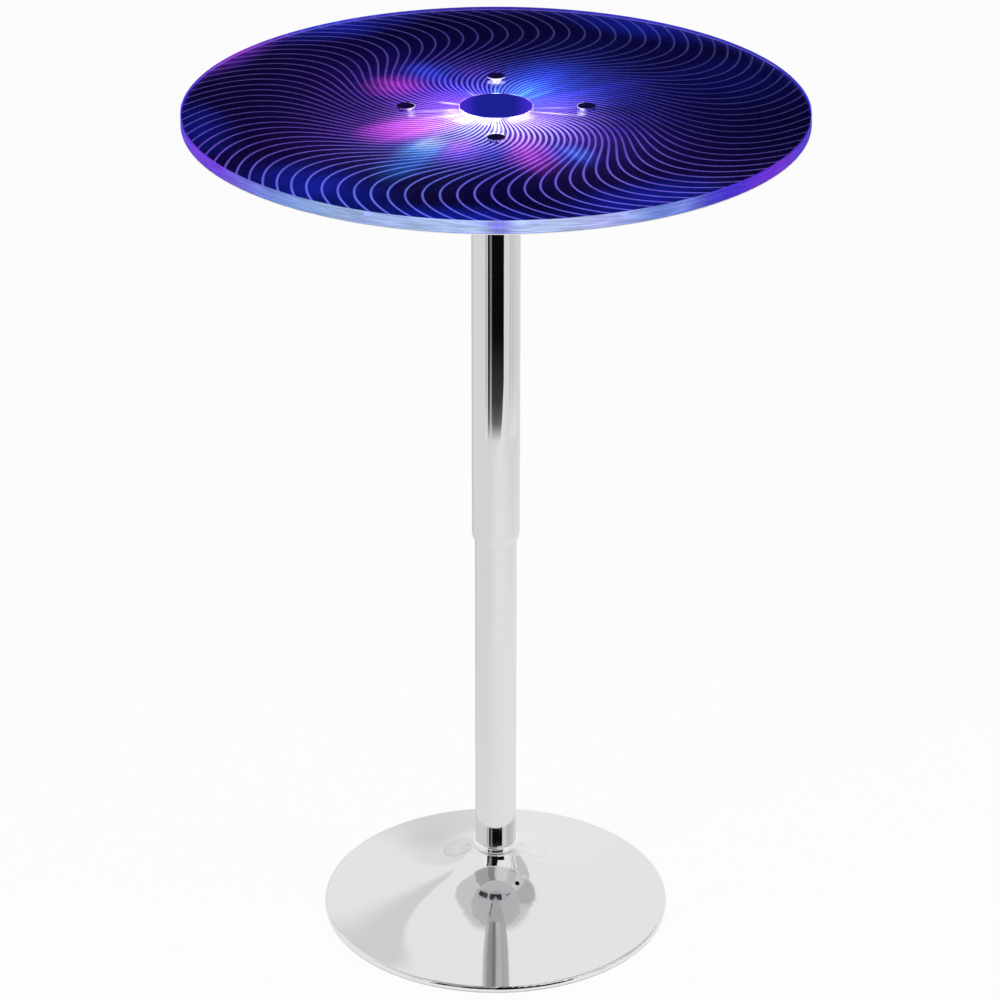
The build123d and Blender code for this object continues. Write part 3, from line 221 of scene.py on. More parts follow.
spike_patches = [
    (3, 54, 32, 3.2, WHITE, 0.55), (-13, 56, 38, 3.6, WHITE, 0.75), (44, 52, 34, 4, CYAN, 0.8),
    (58, 50, 26, 4, CYAN, 0.6), (90, 46, 20, 5, CYAN, 0.7), (160, 46, 18, 5, WHITE, 0.8),
    (186, 58, 36, 4, WHITE, 0.7), (200, 58, 30, 5, WHITE, 0.5), (118, 46, 18, 4, WHITE, 0.35),
]
haze_turns = [
    (0.000, (0.014, 0.009, 0.25)), (0.083, (0.026, 0.019, 0.47)), (0.167, (0.019, 0.032, 0.48)),
    (0.250, (0.009, 0.010, 0.21)), (0.333, (0.022, 0.011, 0.36)), (0.417, (0.060, 0.009, 0.36)),
    (0.500, (0.042, 0.009, 0.22)), (0.583, (0.100, 0.025, 0.40)), (0.667, (0.080, 0.060, 0.34)),
    (0.750, (0.021, 0.015, 0.28)), (0.833, (0.080, 0.035, 0.36)), (0.917, (0.060, 0.017, 0.40)),
]
HAZE_REACH = 0.100
HAZE_LENGTH = 0.047
print("patches", len(wide_patches) + len(entry_patches) + len(spike_patches))

# %% [markdown]
# The patches are added up in one group. A Mapping node turns each oval into a unit circle and a
# spherical Gradient fades it to its edge. The Color Ramp of the haze starts and ends with the
# same colour, so it closes round the axis. Fine noise that changes only with the angle breaks the
# sum into streaks: the first two values are its range, the last two the shades that it becomes. A
# wedge behind each clamp hole is darkened, since the clamp stands in the light. Its length is in
# multiples of the hole's distance from the axis, and its breadth in multiples of the cap's radius.

# %% Group: light from the middle
STREAKS = (0.35, 0.65, 0.72, 1.15)
ENTRY_STREAKS = (0.38, 0.62, 0.35, 1.25)
WEDGE_LENGTH = (1.2, 1.8)
WEDGE_BREADTH = (0.7, 1.6)
WEDGE_GREY = 0.65


def turn_ramp(tree, turn, stops):
    ramp = add_node(tree, "ShaderNodeValToRGB", {"Fac": turn})
    colours = ramp.color_ramp
    colours.elements[0].color = colours.elements[1].color = (*stops[0][1], 1.0)
    for place, colour in stops[1:]:
        colours.elements.new(place).color = (*colour, 1.0)
    return ramp.outputs["Color"]


def add_patches(tree, flat, patches):
    colour = BLACK
    for angle, reach, length, breadth, tint, strength in patches:
        turn = radians(angle)
        centre = (reach * MILLIMETRE * cos(turn), reach * MILLIMETRE * sin(turn), 0)
        stretch = (length * MILLIMETRE, breadth * MILLIMETRE, 1)
        sockets = {"Vector": flat, "Location": centre, "Rotation": (0, 0, turn), "Scale": stretch}
        oval = add_node(tree, "ShaderNodeMapping", sockets, vector_type="TEXTURE").outputs[0]
        fade = add_node(tree, "ShaderNodeTexGradient", {"Vector": oval}, gradient_type="SPHERICAL")
        share = remap(tree, fade.outputs["Fac"], 0.0, 1.0)
        bright = tuple(part * strength for part in tint)
        colour = mix_colour(tree, share, colour, bright, "ADD")
    return colour


def clamp_wedge(tree, flat):
    sides = add_node(tree, "ShaderNodeVectorMath", {0: flat}, operation="ABSOLUTE").outputs[0]
    across = split(tree, sides)
    along_hole = calculate(tree, "MAXIMUM", across["X"], across["Y"])
    beside_hole = calculate(tree, "MINIMUM", across["X"], across["Y"])
    lengths = (clamp_reach * part for part in WEDGE_LENGTH)
    breadths = (clamp_cap_radius * part for part in WEDGE_BREADTH)
    behind = remap(tree, along_hole, clamp_reach, clamp_reach + clamp_cap_radius)
    far = remap(tree, along_hole, *lengths, 1.0, 0.0)
    narrow = remap(tree, beside_hole, *breadths, 1.0, 0.0)
    return calculate(tree, "MULTIPLY", calculate(tree, "MULTIPLY", behind, far), narrow)


def build_light_group():
    tree, _, out = open_group("middle_light", [], [("Glow", COLOUR), ("Entry", COLOUR)])
    polar = use_group(tree, polar_place)
    flat = polar["Flat"]
    inwards = calculate(tree, "SUBTRACT", HAZE_REACH, polar["Radius"])
    fade = calculate(tree, "EXPONENT", calculate(tree, "DIVIDE", inwards, HAZE_LENGTH))
    haze = mix_colour(tree, 1.0, turn_ramp(tree, polar["Turn"], haze_turns), fade, "MULTIPLY")
    glow = mix_colour(tree, 1.0, add_patches(tree, flat, wide_patches), haze, "ADD")
    entry = add_patches(tree, flat, entry_patches + spike_patches)
    outwards = add_node(tree, "ShaderNodeVectorMath", {0: flat}, operation="NORMALIZE").outputs[0]
    streaks = noise(tree, outwards, scale=11.0, detail=4.0)
    shaded = dim(tree, remap(tree, streaks, *STREAKS), clamp_wedge(tree, flat), WEDGE_GREY)
    tree.links.new(mix_colour(tree, 1.0, glow, shaded, "MULTIPLY"), out["Glow"])
    ragged = remap(tree, streaks, *ENTRY_STREAKS)
    tree.links.new(mix_colour(tree, 1.0, entry, ragged, "MULTIPLY"), out["Entry"])
    return tree


middle_light = build_light_group()
print("group", middle_light.name, "nodes", len(middle_light.nodes))

# %% [markdown]
# Real surfaces are never even. One group gives the faint marks of polishing and handling: it
# changes the roughness a little over the surface and gives a low height for the bump. Another
# gives the fine grain of moulded plastic, rubber and powder paint.

# %% Groups: handling marks and moulded grain
MARK_RANGE = (0.1, 0.45)
HAIR_FINENESS = 14.0
HAIR_STRETCH = (1.0, 1.0, 0.06)
CLOUD_SCALE = 0.05


def build_marks_group():
    inputs = [("Scale", NUMBER, 40.0), ("Level", NUMBER, 0.1), ("Spread", NUMBER, 0.05)]
    outputs = [("Roughness", NUMBER), ("Height", NUMBER)]
    tree, given, out = open_group("handling_marks", inputs, outputs)
    place = object_place(tree)
    broad = noise(tree, place, scale=given["Scale"], detail=3.0)
    tight = calculate(tree, "MULTIPLY", given["Scale"], HAIR_FINENESS)
    sockets = {"Vector": place, "Scale": HAIR_STRETCH}
    stretch = add_node(tree, "ShaderNodeMapping", sockets).outputs[0]
    hairs = noise(tree, stretch, scale=tight, detail=2.0)
    swing = remap(tree, calculate(tree, "MULTIPLY", broad, hairs), *MARK_RANGE, -1.0, 1.0)
    spread = calculate(tree, "MULTIPLY", swing, given["Spread"])
    tree.links.new(calculate(tree, "ADD", given["Level"], spread, clamp=True), out["Roughness"])
    tree.links.new(hairs, out["Height"])
    return tree


def build_grain_group():
    inputs = [("Scale", NUMBER, 900.0), ("Contrast", NUMBER, 0.15)]
    outputs = [("Height", NUMBER), ("Shade", NUMBER)]
    tree, given, out = open_group("moulded_grain", inputs, outputs)
    place = object_place(tree)
    pits = add_node(tree, "ShaderNodeTexVoronoi", {"Vector": place, "Scale": given["Scale"]})
    cloud_scale = calculate(tree, "MULTIPLY", given["Scale"], CLOUD_SCALE)
    clouds = noise(tree, place, scale=cloud_scale, detail=5.0)
    tree.links.new(pits.outputs["Distance"], out["Height"])
    swing = calculate(tree, "SUBTRACT", clouds, 0.5)
    tree.links.new(calculate(tree, "MULTIPLY_ADD", swing, given["Contrast"], 1.0), out["Shade"])
    return tree


handling_marks = build_marks_group()
moulded_grain = build_grain_group()
print("groups", handling_marks.name, moulded_grain.name)

# %% [markdown]
# Dust settles on what faces up, and paint wears through on sharp edges. The dust group looks at
# the way a surface faces, and the edge group compares the surface with one whose edges are
# rounded.

# %% Groups: settled dust and worn edges
DUST_FACING = (0.3, 1.0)
DUST_PATCHES = (0.42, 0.68)
EDGE_BEND = (0.97, 0.8)
EDGE_CHIPS = (0.45, 0.6)


def build_dust_group():
    inputs = [("Amount", NUMBER, 0.2)]
    tree, given, out = open_group("settled_dust", inputs, [("Mask", NUMBER)])
    level = remap(tree, facing_up(tree), *DUST_FACING)
    specks = noise(tree, object_place(tree), scale=160.0, detail=6.0)
    patchy = calculate(tree, "MULTIPLY", level, remap(tree, specks, *DUST_PATCHES))
    tree.links.new(calculate(tree, "MULTIPLY", patchy, given["Amount"]), out["Mask"])
    return tree


def build_edge_group():
    inputs = [("Width", NUMBER, 0.0008), ("Amount", NUMBER, 0.6)]
    tree, given, out = open_group("worn_edges", inputs, [("Mask", NUMBER)])
    true_facing = add_node(tree, "ShaderNodeNewGeometry").outputs["Normal"]
    rounded = add_node(tree, "ShaderNodeBevel", {"Radius": given["Width"]}, samples=4).outputs[0]
    both = {0: true_facing, 1: rounded}
    same = add_node(tree, "ShaderNodeVectorMath", both, operation="DOT_PRODUCT").outputs["Value"]
    chips = noise(tree, object_place(tree), scale=300.0, detail=4.0)
    edge = remap(tree, same, *EDGE_BEND)
    worn = calculate(tree, "MULTIPLY", edge, remap(tree, chips, *EDGE_CHIPS))
    tree.links.new(calculate(tree, "MULTIPLY", worn, given["Amount"]), out["Mask"])
    return tree


settled_dust = build_dust_group()
worn_edges = build_edge_group()
print("groups", settled_dust.name, worn_edges.name)

# %% [markdown]
# Each CAD piece names a slot of the record, such as chrome or rubber. A finish is made once per
# slot and put on every piece that has it. A finish starts from a fresh Principled shader, and
# whatever is even all over the surface is set on the shader's own sockets.

# %% Helpers for finishes
slot_pieces = {}
for part in frame["record"]["subparts"]:
    slot_pieces.setdefault(part["material_slot"], []).append(part["node"])


def new_finish(name, **even):
    material = bpy.data.materials.new(name)
    material.use_nodes = True
    tree = material.node_tree
    shader = tree.nodes["Principled BSDF"]
    for label, value in even.items():
        fill_socket(tree, shader.inputs[label.replace("_", " ")], value)
    return material, tree, shader


def add_bump(tree, shader, height, depth):
    bump = add_node(tree, "ShaderNodeBump", {"Height": height, "Distance": depth, "Strength": 1.0})
    tree.links.new(bump.outputs["Normal"], shader.inputs["Normal"])


def add_marks(tree, shader, scale, level, spread):
    marks = use_group(tree, handling_marks, Scale=scale, Level=level, Spread=spread)
    tree.links.new(marks["Roughness"], shader.inputs["Roughness"])
    return marks


def dress(material, *names):
    for name in names:
        nodes[name].data.materials.clear()
        nodes[name].data.materials.append(material)
    print(material.name, "on", ", ".join(names))


print("slots", len(slot_pieces))

# %% [markdown]
# Chrome plate is nearly a mirror. What tells steel tube from a drawn circle is that the mirror is
# slightly uneven: the tubes were ground along their length and the foot was spun on a lathe, so a
# very low, broad swell bends the reflections and fine hairs soften them. The small collar's chrome
# is set brighter than the rest as a painted highlight, and it hardly swells.

# %% Chrome on the tubes and on the spun foot
def chrome_finish(name, colour, swell_stretch, swell_depth):
    material, tree, shader = new_finish(name, Metallic=1.0, Base_Color=colour)
    add_marks(tree, shader, scale=26.0, level=0.045, spread=0.02)
    sockets = {"Vector": object_place(tree), "Scale": swell_stretch}
    stretch = add_node(tree, "ShaderNodeMapping", sockets).outputs[0]
    swell = noise(tree, stretch, scale=11.0, detail=1.0)
    add_bump(tree, shader, swell, swell_depth)
    return material


tube_chrome = chrome_finish("tube_chrome", (0.74, 0.74, 0.745), (1.0, 1.0, 0.12), 0.00010)
foot_chrome = chrome_finish("foot_chrome", (0.82, 0.82, 0.825), (0.6, 0.6, 0.6), 0.00018)
# The collar's brighter chrome is a painted highlight.
collar_highlight_chrome = chrome_finish("collar_highlight_chrome", (0.93, 0.93, 0.935), (1.0, 1.0, 1.0), 0.00004)
dress(tube_chrome, "upper_cover", "lower_column")
dress(foot_chrome, "base_shell")
dress(collar_highlight_chrome, "base_collar")

# %% [markdown]
# Light that enters the glass in the middle runs outwards between its faces and leaves at the rim,
# so the rim glows. Its colour changes round the table: pale blue in front, violet at the sides. A
# Color Ramp over the turn gives that, and slanted noise gives the streaks of the ground edge.

# %% The colours round the rim and of the rays
rim_turns = [
    (0.000, (0.05, 0.04, 0.55)), (0.120, (0.05, 0.04, 0.50)), (0.270, (0.05, 0.03, 0.42)),
    (0.360, (0.05, 0.06, 0.62)), (0.410, (0.30, 0.03, 0.55)), (0.460, (0.08, 0.04, 0.50)),
    (0.520, (0.06, 0.03, 0.62)), (0.563, (0.16, 0.04, 0.72)), (0.590, (0.15, 0.05, 0.70)),
    (0.611, (0.17, 0.15, 0.75)), (0.629, (0.18, 0.24, 0.72)), (0.646, (0.21, 0.33, 0.73)),
    (0.675, (0.31, 0.42, 0.71)), (0.689, (0.34, 0.44, 0.78)), (0.720, (0.39, 0.52, 0.83)),
    (0.742, (0.42, 0.54, 0.82)), (0.752, (0.20, 0.18, 0.70)), (0.760, (0.44, 0.55, 0.88)),
    (0.777, (0.45, 0.56, 0.84)), (0.803, (0.43, 0.45, 0.88)), (0.816, (0.30, 0.37, 0.80)),
    (0.830, (0.14, 0.22, 0.64)), (0.844, (0.19, 0.25, 0.76)), (0.860, (0.07, 0.06, 0.60)),
    (0.877, (0.065, 0.03, 0.65)), (0.896, (0.13, 0.03, 0.66)), (0.918, (0.15, 0.03, 0.62)),
    (0.949, (0.06, 0.02, 0.60)), (0.975, (0.03, 0.015, 0.35)),
]
ray_turns = [
    (0.000, (0.022, 0.020, 0.13)), (0.120, (0.022, 0.022, 0.16)), (0.240, (0.030, 0.022, 0.17)),
    (0.330, (0.065, 0.035, 0.26)), (0.420, (0.075, 0.040, 0.25)), (0.500, (0.060, 0.035, 0.24)),
    (0.570, (0.150, 0.065, 0.50)), (0.625, (0.160, 0.130, 0.72)), (0.680, (0.140, 0.190, 0.88)),
    (0.750, (0.150, 0.120, 0.80)), (0.830, (0.200, 0.130, 0.78)), (0.890, (0.130, 0.080, 0.48)),
    (0.940, (0.035, 0.030, 0.19)),
]
near_turns = [
    (0.00, (0.35, 0.25, 0.90)), (0.12, (0.10, 0.22, 0.85)), (0.25, (0.20, 0.25, 0.90)),
    (0.40, (0.28, 0.14, 0.80)), (0.50, (0.50, 0.22, 0.90)), (0.60, (1.00, 0.85, 1.00)),
    (0.72, (1.30, 1.20, 1.30)), (0.86, (1.30, 1.10, 1.30)), (0.94, (0.70, 0.48, 0.98)),
]
print("rim colours", len(rim_turns), "ray colours", len(ray_turns))

# %% [markdown]
# The glass itself is clear: plain transmission, a plain index of refraction and a faint blue
# absorption that only shows over long paths. On top of it, three places glow: the rim, the wall
# of the middle hole with a spot for each light, and the wall of each clamp hole on the side that
# faces the lights. Each is a mask made from the distance to the axis. The pairs below say where a
# mask begins and where it is full, in metres from the rim, from the cap or from the clamp hole.

# %% Glass with lit edges
LIGHT_COUNT = 12
LIGHT_SPOTS = (0.25, 0.95)
EDGE_STRIP = (0.00095, 0.00085)
HOLE_WALL = (0.0012, 0.0008)
CLAMP_WALL = 0.0006
CLAMP_WALL_SIDE = (0.001, 0.004)
UPRIGHT = (0.95, 0.85)
RIM_STREAKS = (0.36, 0.66, 0.78, 1.2)
STREAK_SLANT = 6.0
STREAK_SQUEEZE = 16.0
HOLE_VIOLET = (0.45, 0.30, 0.95)
CLAMP_GLOW = (0.95, 0.85, 1.0)
GLASS_TINT = (0.55, 0.62, 0.97)
GLASS_DENSITY = 18.0


def rim_glow(tree, polar):
    colour = turn_ramp(tree, polar["Turn"], rim_turns)
    round_rim = calculate(tree, "MULTIPLY", polar["Turn"], 2 * pi * glass_radius)
    slanted = calculate(tree, "MULTIPLY_ADD", polar["Height"], STREAK_SLANT, round_rim)
    squeezed = calculate(tree, "MULTIPLY", polar["Height"], STREAK_SQUEEZE)
    place = add_node(tree, "ShaderNodeCombineXYZ", {"X": slanted, "Y": squeezed}).outputs[0]
    streaks = noise(tree, place, scale=34.0, detail=6.0)
    return mix_colour(tree, 1.0, colour, remap(tree, streaks, *RIM_STREAKS), "MULTIPLY")


def hole_lights(tree, polar):
    wall = remap(tree, polar["Radius"], *(cap_radius + gap for gap in HOLE_WALL))
    round_hole = calculate(tree, "MULTIPLY", polar["Turn"], 2 * pi * LIGHT_COUNT)
    spots = remap(tree, calculate(tree, "COSINE", round_hole), -1.0, 1.0, *LIGHT_SPOTS)
    return calculate(tree, "MULTIPLY", wall, spots)


def clamp_lights(tree, polar):
    upright = remap(tree, calculate(tree, "ABSOLUTE", facing_up(tree)), *UPRIGHT)
    wall_reach = clamp_cap_radius + CLAMP_WALL
    near_hole = calculate(tree, "COMPARE", polar["Radius"], clamp_reach, wall_reach)
    inner_side = remap(tree, polar["Radius"], *(clamp_reach - gap for gap in CLAMP_WALL_SIDE))
    wall = calculate(tree, "MULTIPLY", near_hole, upright)
    return calculate(tree, "MULTIPLY", wall, inner_side)


def glass_finish():
    material, tree, shader = new_finish(
        "lit_clear_glass", Transmission_Weight=1.0, Metallic=0.0, IOR=1.5, Roughness=0.0,
        Base_Color=(1.0, 1.0, 1.0), Specular_IOR_Level=0.5, Emission_Strength=1.0,
    )
    polar = use_group(tree, polar_place)
    middle = use_group(tree, middle_light)
    rim = remap(tree, polar["Radius"], *(glass_radius - depth for depth in EDGE_STRIP))
    colour = mix_colour(tree, rim, BLACK, rim_glow(tree, polar))
    entry = mix_colour(tree, 1.0, middle["Entry"], HOLE_VIOLET, "ADD")
    colour = mix_colour(tree, hole_lights(tree, polar), colour, entry, "ADD")
    colour = mix_colour(tree, clamp_lights(tree, polar), colour, CLAMP_GLOW, "ADD")
    tree.links.new(colour, shader.inputs["Emission Color"])
    sockets = {"Color": GLASS_TINT, "Density": GLASS_DENSITY}
    depth = add_node(tree, "ShaderNodeVolumeAbsorption", sockets)
    tree.links.new(depth.outputs[0], tree.nodes["Material Output"].inputs["Volume"])
    return material


dress(glass_finish(), "glass_top")

# %% [markdown]
# Under the glass lies a nearly black panel. Its own colour is dark and dull, and the patches of
# light are its emission, on the upper face only. The faint navy all over it is light that the
# glass scatters back. The underside is painted light grey, and the polished foot mirrors it.

# %% The dark panel under the rays
TOP_SIDE = (0.4, 0.6)
UNDERSIDE_GREY = (0.80, 0.805, 0.82)
PANEL_BLACK = (0.001, 0.001, 0.004)
SCATTERED_NAVY = (0.0018, 0.0006, 0.026)


def panel_finish():
    material, tree, shader = new_finish(
        "dark_ray_panel", Roughness=0.5, Specular_IOR_Level=0.0, Emission_Strength=1.0
    )
    middle = use_group(tree, middle_light)
    grain = use_group(tree, moulded_grain, Scale=1400.0)
    add_bump(tree, shader, grain["Height"], depth=0.00002)
    top_side = remap(tree, facing_up(tree), *TOP_SIDE)
    ground = mix_colour(tree, top_side, UNDERSIDE_GREY, PANEL_BLACK)
    ground = mix_colour(tree, 1.0, ground, grain["Shade"], "MULTIPLY")
    tree.links.new(ground, shader.inputs["Base Color"])
    lit = mix_colour(tree, 1.0, middle["Glow"], middle["Entry"], "ADD")
    lit = mix_colour(tree, 1.0, lit, SCATTERED_NAVY, "ADD")
    tree.links.new(mix_colour(tree, top_side, BLACK, lit), shader.inputs["Emission Color"])
    return material


dress(panel_finish(), "backing_panel")

# %% [markdown]
# The rays are real geometry: thin strips in the film's gap under the glass. One formula gives
# their course. Going outwards from the hole, each ray swings away from straight by an angle that
# follows a sine of the distance, so it leans one way, turns, and leans back near the rim. Small
# steps of that heading are added up, and the same line is turned round the axis for every ray.

# %% Course of one ray
RAY_COUNT = 91
RAY_STEP = 0.0022
RAY_START = 0.0004
RIM_MARGIN = 0.0008
SWING = radians(54.0)
SWING_MIDDLE = 0.219
SWING_LENGTH = 0.344
SWING_START = 0.030
SWING_GROWTH = 0.045


def heading(radius):
    growth = 1.0 - exp(-(radius - SWING_START) / SWING_GROWTH)
    return SWING * sin(2 * pi * (radius - SWING_MIDDLE) / SWING_LENGTH) * growth


def ray_course():
    start = cap_radius + RAY_START
    reach = panel_radius - RIM_MARGIN - start
    steps = int(reach / RAY_STEP)
    step = reach / steps
    turn = 0.0
    stations = [(start, 0.0)]
    for number in range(steps):
        middle = start + step * (number + 0.5)
        turn += tan(heading(middle)) / middle * step
        stations.append((start + step * (number + 1), turn))
    return stations


course = ray_course()
least_turn = min(turn for _, turn in course)
print("stations", len(course), "least turn", round(degrees(least_turn), 1), "degrees")

# %% [markdown]
# A strip has an upper and a lower side and two edges, so it is a closed thin solid. Where a ray
# would cross a clamp hole it stops short and goes on behind it. Near the middle the rays crowd,
# so their width follows the space between them.

# %% Build the rays
RAY_WIDTH = 0.0021
RAY_SHARE = 0.46
RAY_GAP = 0.00003
RAY_THICKNESS = 0.00012
RAY_TOP = glass_low.z - RAY_GAP
RAY_BOTTOM = RAY_TOP - RAY_THICKNESS
CLAMP_CLEARANCE = 0.0066


def hole_distance(x, y):
    along, beside = max(abs(x), abs(y)), min(abs(x), abs(y))
    return ((along - clamp_reach) ** 2 + beside**2) ** 0.5


def ray_runs(first_turn):
    runs, run = [], []
    for radius, turn in course:
        angle = first_turn + turn
        lean = angle + heading(radius)
        space = 2 * pi * radius / RAY_COUNT * cos(heading(radius))
        half = min(RAY_WIDTH, space * RAY_SHARE) / 2
        x, y = radius * cos(angle), radius * sin(angle)
        if hole_distance(x, y) < CLAMP_CLEARANCE:
            runs.append(run)
            run = []
            continue
        side_x, side_y = -sin(lean) * half, cos(lean) * half
        run.append((x + side_x, y + side_y, x - side_x, y - side_y))
    runs.append(run)
    return [run for run in runs if len(run) > 1]


def build_rays():
    corners, faces = [], []
    for number in range(RAY_COUNT):
        for run in ray_runs(2 * pi * number / RAY_COUNT):
            first = len(corners)
            last = first + 4 * (len(run) - 1)
            for left_x, left_y, right_x, right_y in run:
                corners += [(left_x, left_y, RAY_TOP), (right_x, right_y, RAY_TOP)]
                corners += [(right_x, right_y, RAY_BOTTOM), (left_x, left_y, RAY_BOTTOM)]
            for at in range(first, last, 4):
                for side in range(4):
                    other = (side + 1) % 4
                    faces.append((at + side, at + other, at + 4 + other, at + 4 + side))
            faces.append((first + 3, first + 2, first + 1, first))
            faces.append((last, last + 1, last + 2, last + 3))
    mesh = bpy.data.meshes.new("etched_rays")
    mesh.from_pydata(corners, [], faces)
    mesh.validate()
    rays = bpy.data.objects.new("etched_rays", mesh)
    bpy.context.scene.collection.objects.link(rays)
    return rays


etched_rays = build_rays()
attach(etched_rays, "lift")
print("ray faces", len(etched_rays.data.polygons))

# %% [markdown]
# The rays scatter the light that passes them. Near the middle they are white, further out they
# take the colour of their side of the table, and at the right and behind they stay dim. So their
# emission is a ramp over the turn, plus the patches of light again, brighter than on the panel,
# plus a second ramp that fades from the middle.

# %% Finish of the rays
ETCH_SHADES = (0.3, 0.7, 0.82, 1.18)
GLOW_ON_RAYS = (1.5, 1.8, 1.15)
ENTRY_ON_RAYS = (1.6, 1.6, 1.6)
NEAR_REACH = 3.8


def ray_finish():
    material, tree, shader = new_finish(
        "etched_lines", Base_Color=(0.012, 0.012, 0.02), Roughness=0.7, Emission_Strength=1.0
    )
    polar = use_group(tree, polar_place)
    middle = use_group(tree, middle_light)
    colour = turn_ramp(tree, polar["Turn"], ray_turns)
    etch = noise(tree, object_place(tree), scale=30.0, detail=5.0)
    colour = mix_colour(tree, 1.0, colour, remap(tree, etch, *ETCH_SHADES), "MULTIPLY")
    lift = mix_colour(tree, 1.0, middle["Glow"], GLOW_ON_RAYS, "MULTIPLY")
    entry = mix_colour(tree, 1.0, middle["Entry"], ENTRY_ON_RAYS, "MULTIPLY")
    colour = mix_colour(tree, 1.0, colour, lift, "ADD")
    colour = mix_colour(tree, 1.0, colour, entry, "ADD")
    near = remap(tree, polar["Radius"], cap_radius, cap_radius * NEAR_REACH, 1.0, 0.0)
    colour = mix_colour(tree, near, colour, turn_ramp(tree, polar["Turn"], near_turns), "ADD")
    tree.links.new(colour, shader.inputs["Emission Color"])
    return material


etched_rays.data.materials.append(ray_finish())
print("rays dressed")

# %% [markdown]
# The lens of each light package is small, but it shows through the glass as the whitest point.
# LENS_FACE says how far from the axis the package's dark body ends and the bright lens begins.
# The body itself has a faint painted navy glow. The clear sleeves in the clamp holes have a
# painted glow on the side that faces the middle, where they catch the light.

# %% Lights and sleeves
LENS_FACE = (0.0325, 0.0332)
PACKAGE_NAVY_GLOW = (0.05, 0.05, 0.12)
LENS_GLOW = (2.4, 2.2, 3.0)
SLEEVE_FADE = 0.004
SLEEVE_BLUE = (0.012, 0.004, 0.36)
SLEEVE_WHITE = (1.0, 0.92, 1.0)


def lens_finish():
    material, tree, shader = new_finish(
        "light_lens", Base_Color=(0.9, 0.9, 0.95), Roughness=0.25, Emission_Strength=1.0
    )
    front = remap(tree, use_group(tree, polar_place)["Radius"], *LENS_FACE)
    # The package body's faint navy is a painted glow, and only the lens is the light.
    chip = mix_colour(tree, front, PACKAGE_NAVY_GLOW, LENS_GLOW)
    tree.links.new(chip, shader.inputs["Emission Color"])
    add_marks(tree, shader, scale=300.0, level=0.25, spread=0.1)
    return material


def sleeve_finish():
    material, tree, shader = new_finish(
        "clear_sleeve", Base_Color=(0.05, 0.05, 0.10), Roughness=0.3, Emission_Strength=1.0
    )
    radius = use_group(tree, polar_place)["Radius"]
    # Painted glow: white on the sleeve's side that faces the middle, blue on its outer side.
    side = remap(tree, radius, clamp_reach + SLEEVE_FADE, clamp_reach - SLEEVE_FADE)
    lit = mix_colour(tree, side, SLEEVE_BLUE, SLEEVE_WHITE)
    tree.links.new(lit, shader.inputs["Emission Color"])
    grain = use_group(tree, moulded_grain, Scale=1200.0)
    add_bump(tree, shader, grain["Height"], depth=0.00001)
    return material


dress(lens_finish(), *slot_pieces["light_lens"])
dress(sleeve_finish(), *slot_pieces["clear_sleeve"])

# %% [markdown]
# The caps in the holes are dark plastic with a dull face. The light beneath them shows through a
# little, so the middle one looks deep blue and turns brighter towards its sides.

# %% Caps
CAP_SIDES = 0.45
CAP_EDGE = (1.1, 1.3)
CAP_BLUE = (0.008, 0.012, 0.28)
CAP_VIOLET = (0.05, 0.02, 0.62)
CLAMP_CAP_BLUE = (0.003, 0.001, 0.03)


def cap_finish():
    material, tree, shader = new_finish(
        "dark_cap", Base_Color=(0.004, 0.004, 0.01), Specular_IOR_Level=0.0, Emission_Strength=1.0
    )
    polar = use_group(tree, polar_place)
    sideways = calculate(tree, "ABSOLUTE", split(tree, polar["Flat"])["X"])
    broad = remap(tree, sideways, cap_radius * CAP_SIDES, cap_radius)
    edges = (cap_radius * part for part in CAP_EDGE)
    inside = remap(tree, polar["Radius"], *edges, 1.0, 0.0)
    blue = mix_colour(tree, broad, CAP_BLUE, CAP_VIOLET)
    lit = mix_colour(tree, inside, CLAMP_CAP_BLUE, blue)
    tree.links.new(lit, shader.inputs["Emission Color"])
    add_marks(tree, shader, scale=200.0, level=0.3, spread=0.08)
    return material


dress(cap_finish(), *slot_pieces["dark_cap"])

# %% [markdown]
# The working parts under the top and inside the column are plain engineering finishes: plated and
# ground steel, cast iron, brass-toned contacts. They differ in colour, in roughness and in how
# coarse the marks on them are, so one function with a table of values makes them all. The columns
# are colour, roughness, its spread, the fineness of the marks and the depth of the bump in
# metres.

# %% Metals
METAL_DUST = 0.12
DULLED = 0.6
metals = {
    "cast_ballast": ((0.085, 0.085, 0.09), 0.62, 0.12, 60.0, 0.00015),
    "hub_steel": ((0.42, 0.42, 0.43), 0.38, 0.12, 90.0, 0.00002),
    "zinc_steel": ((0.62, 0.64, 0.68), 0.32, 0.12, 120.0, 0.000004),
    "bolt_steel": ((0.55, 0.56, 0.58), 0.26, 0.10, 260.0, 0.000004),
    "hardened_steel": ((0.50, 0.51, 0.53), 0.16, 0.06, 300.0, 0.000002),
    "piston_alloy": ((0.70, 0.70, 0.71), 0.33, 0.10, 200.0, 0.000005),
    "lever_chrome": ((0.80, 0.81, 0.83), 0.10, 0.05, 80.0, 0.000008),
    "contact_nickel": ((0.66, 0.62, 0.54), 0.24, 0.08, 400.0, 0.000003),
}


def metal_finish(name, colour, level, spread, scale, depth):
    material, tree, shader = new_finish(name, Metallic=1.0)
    dust = use_group(tree, settled_dust, Amount=METAL_DUST)
    dull = tuple(part * DULLED for part in colour)
    tree.links.new(mix_colour(tree, dust["Mask"], colour, dull), shader.inputs["Base Color"])
    marks = add_marks(tree, shader, scale, level, spread)
    add_bump(tree, shader, marks["Height"], depth)
    return material


for slot, values in metals.items():
    dress(metal_finish(slot, *values), *slot_pieces[slot])

# %% [markdown]
# Paint, rubber and moulded plastic share one recipe as well: a colour that clouds a little, a
# grain in the surface, dust on what faces up, and where it is painted, edges that are worn to
# bare metal. The columns are colour, roughness, the fineness of the grain, the depth of the bump,
# the wear and the clouding.

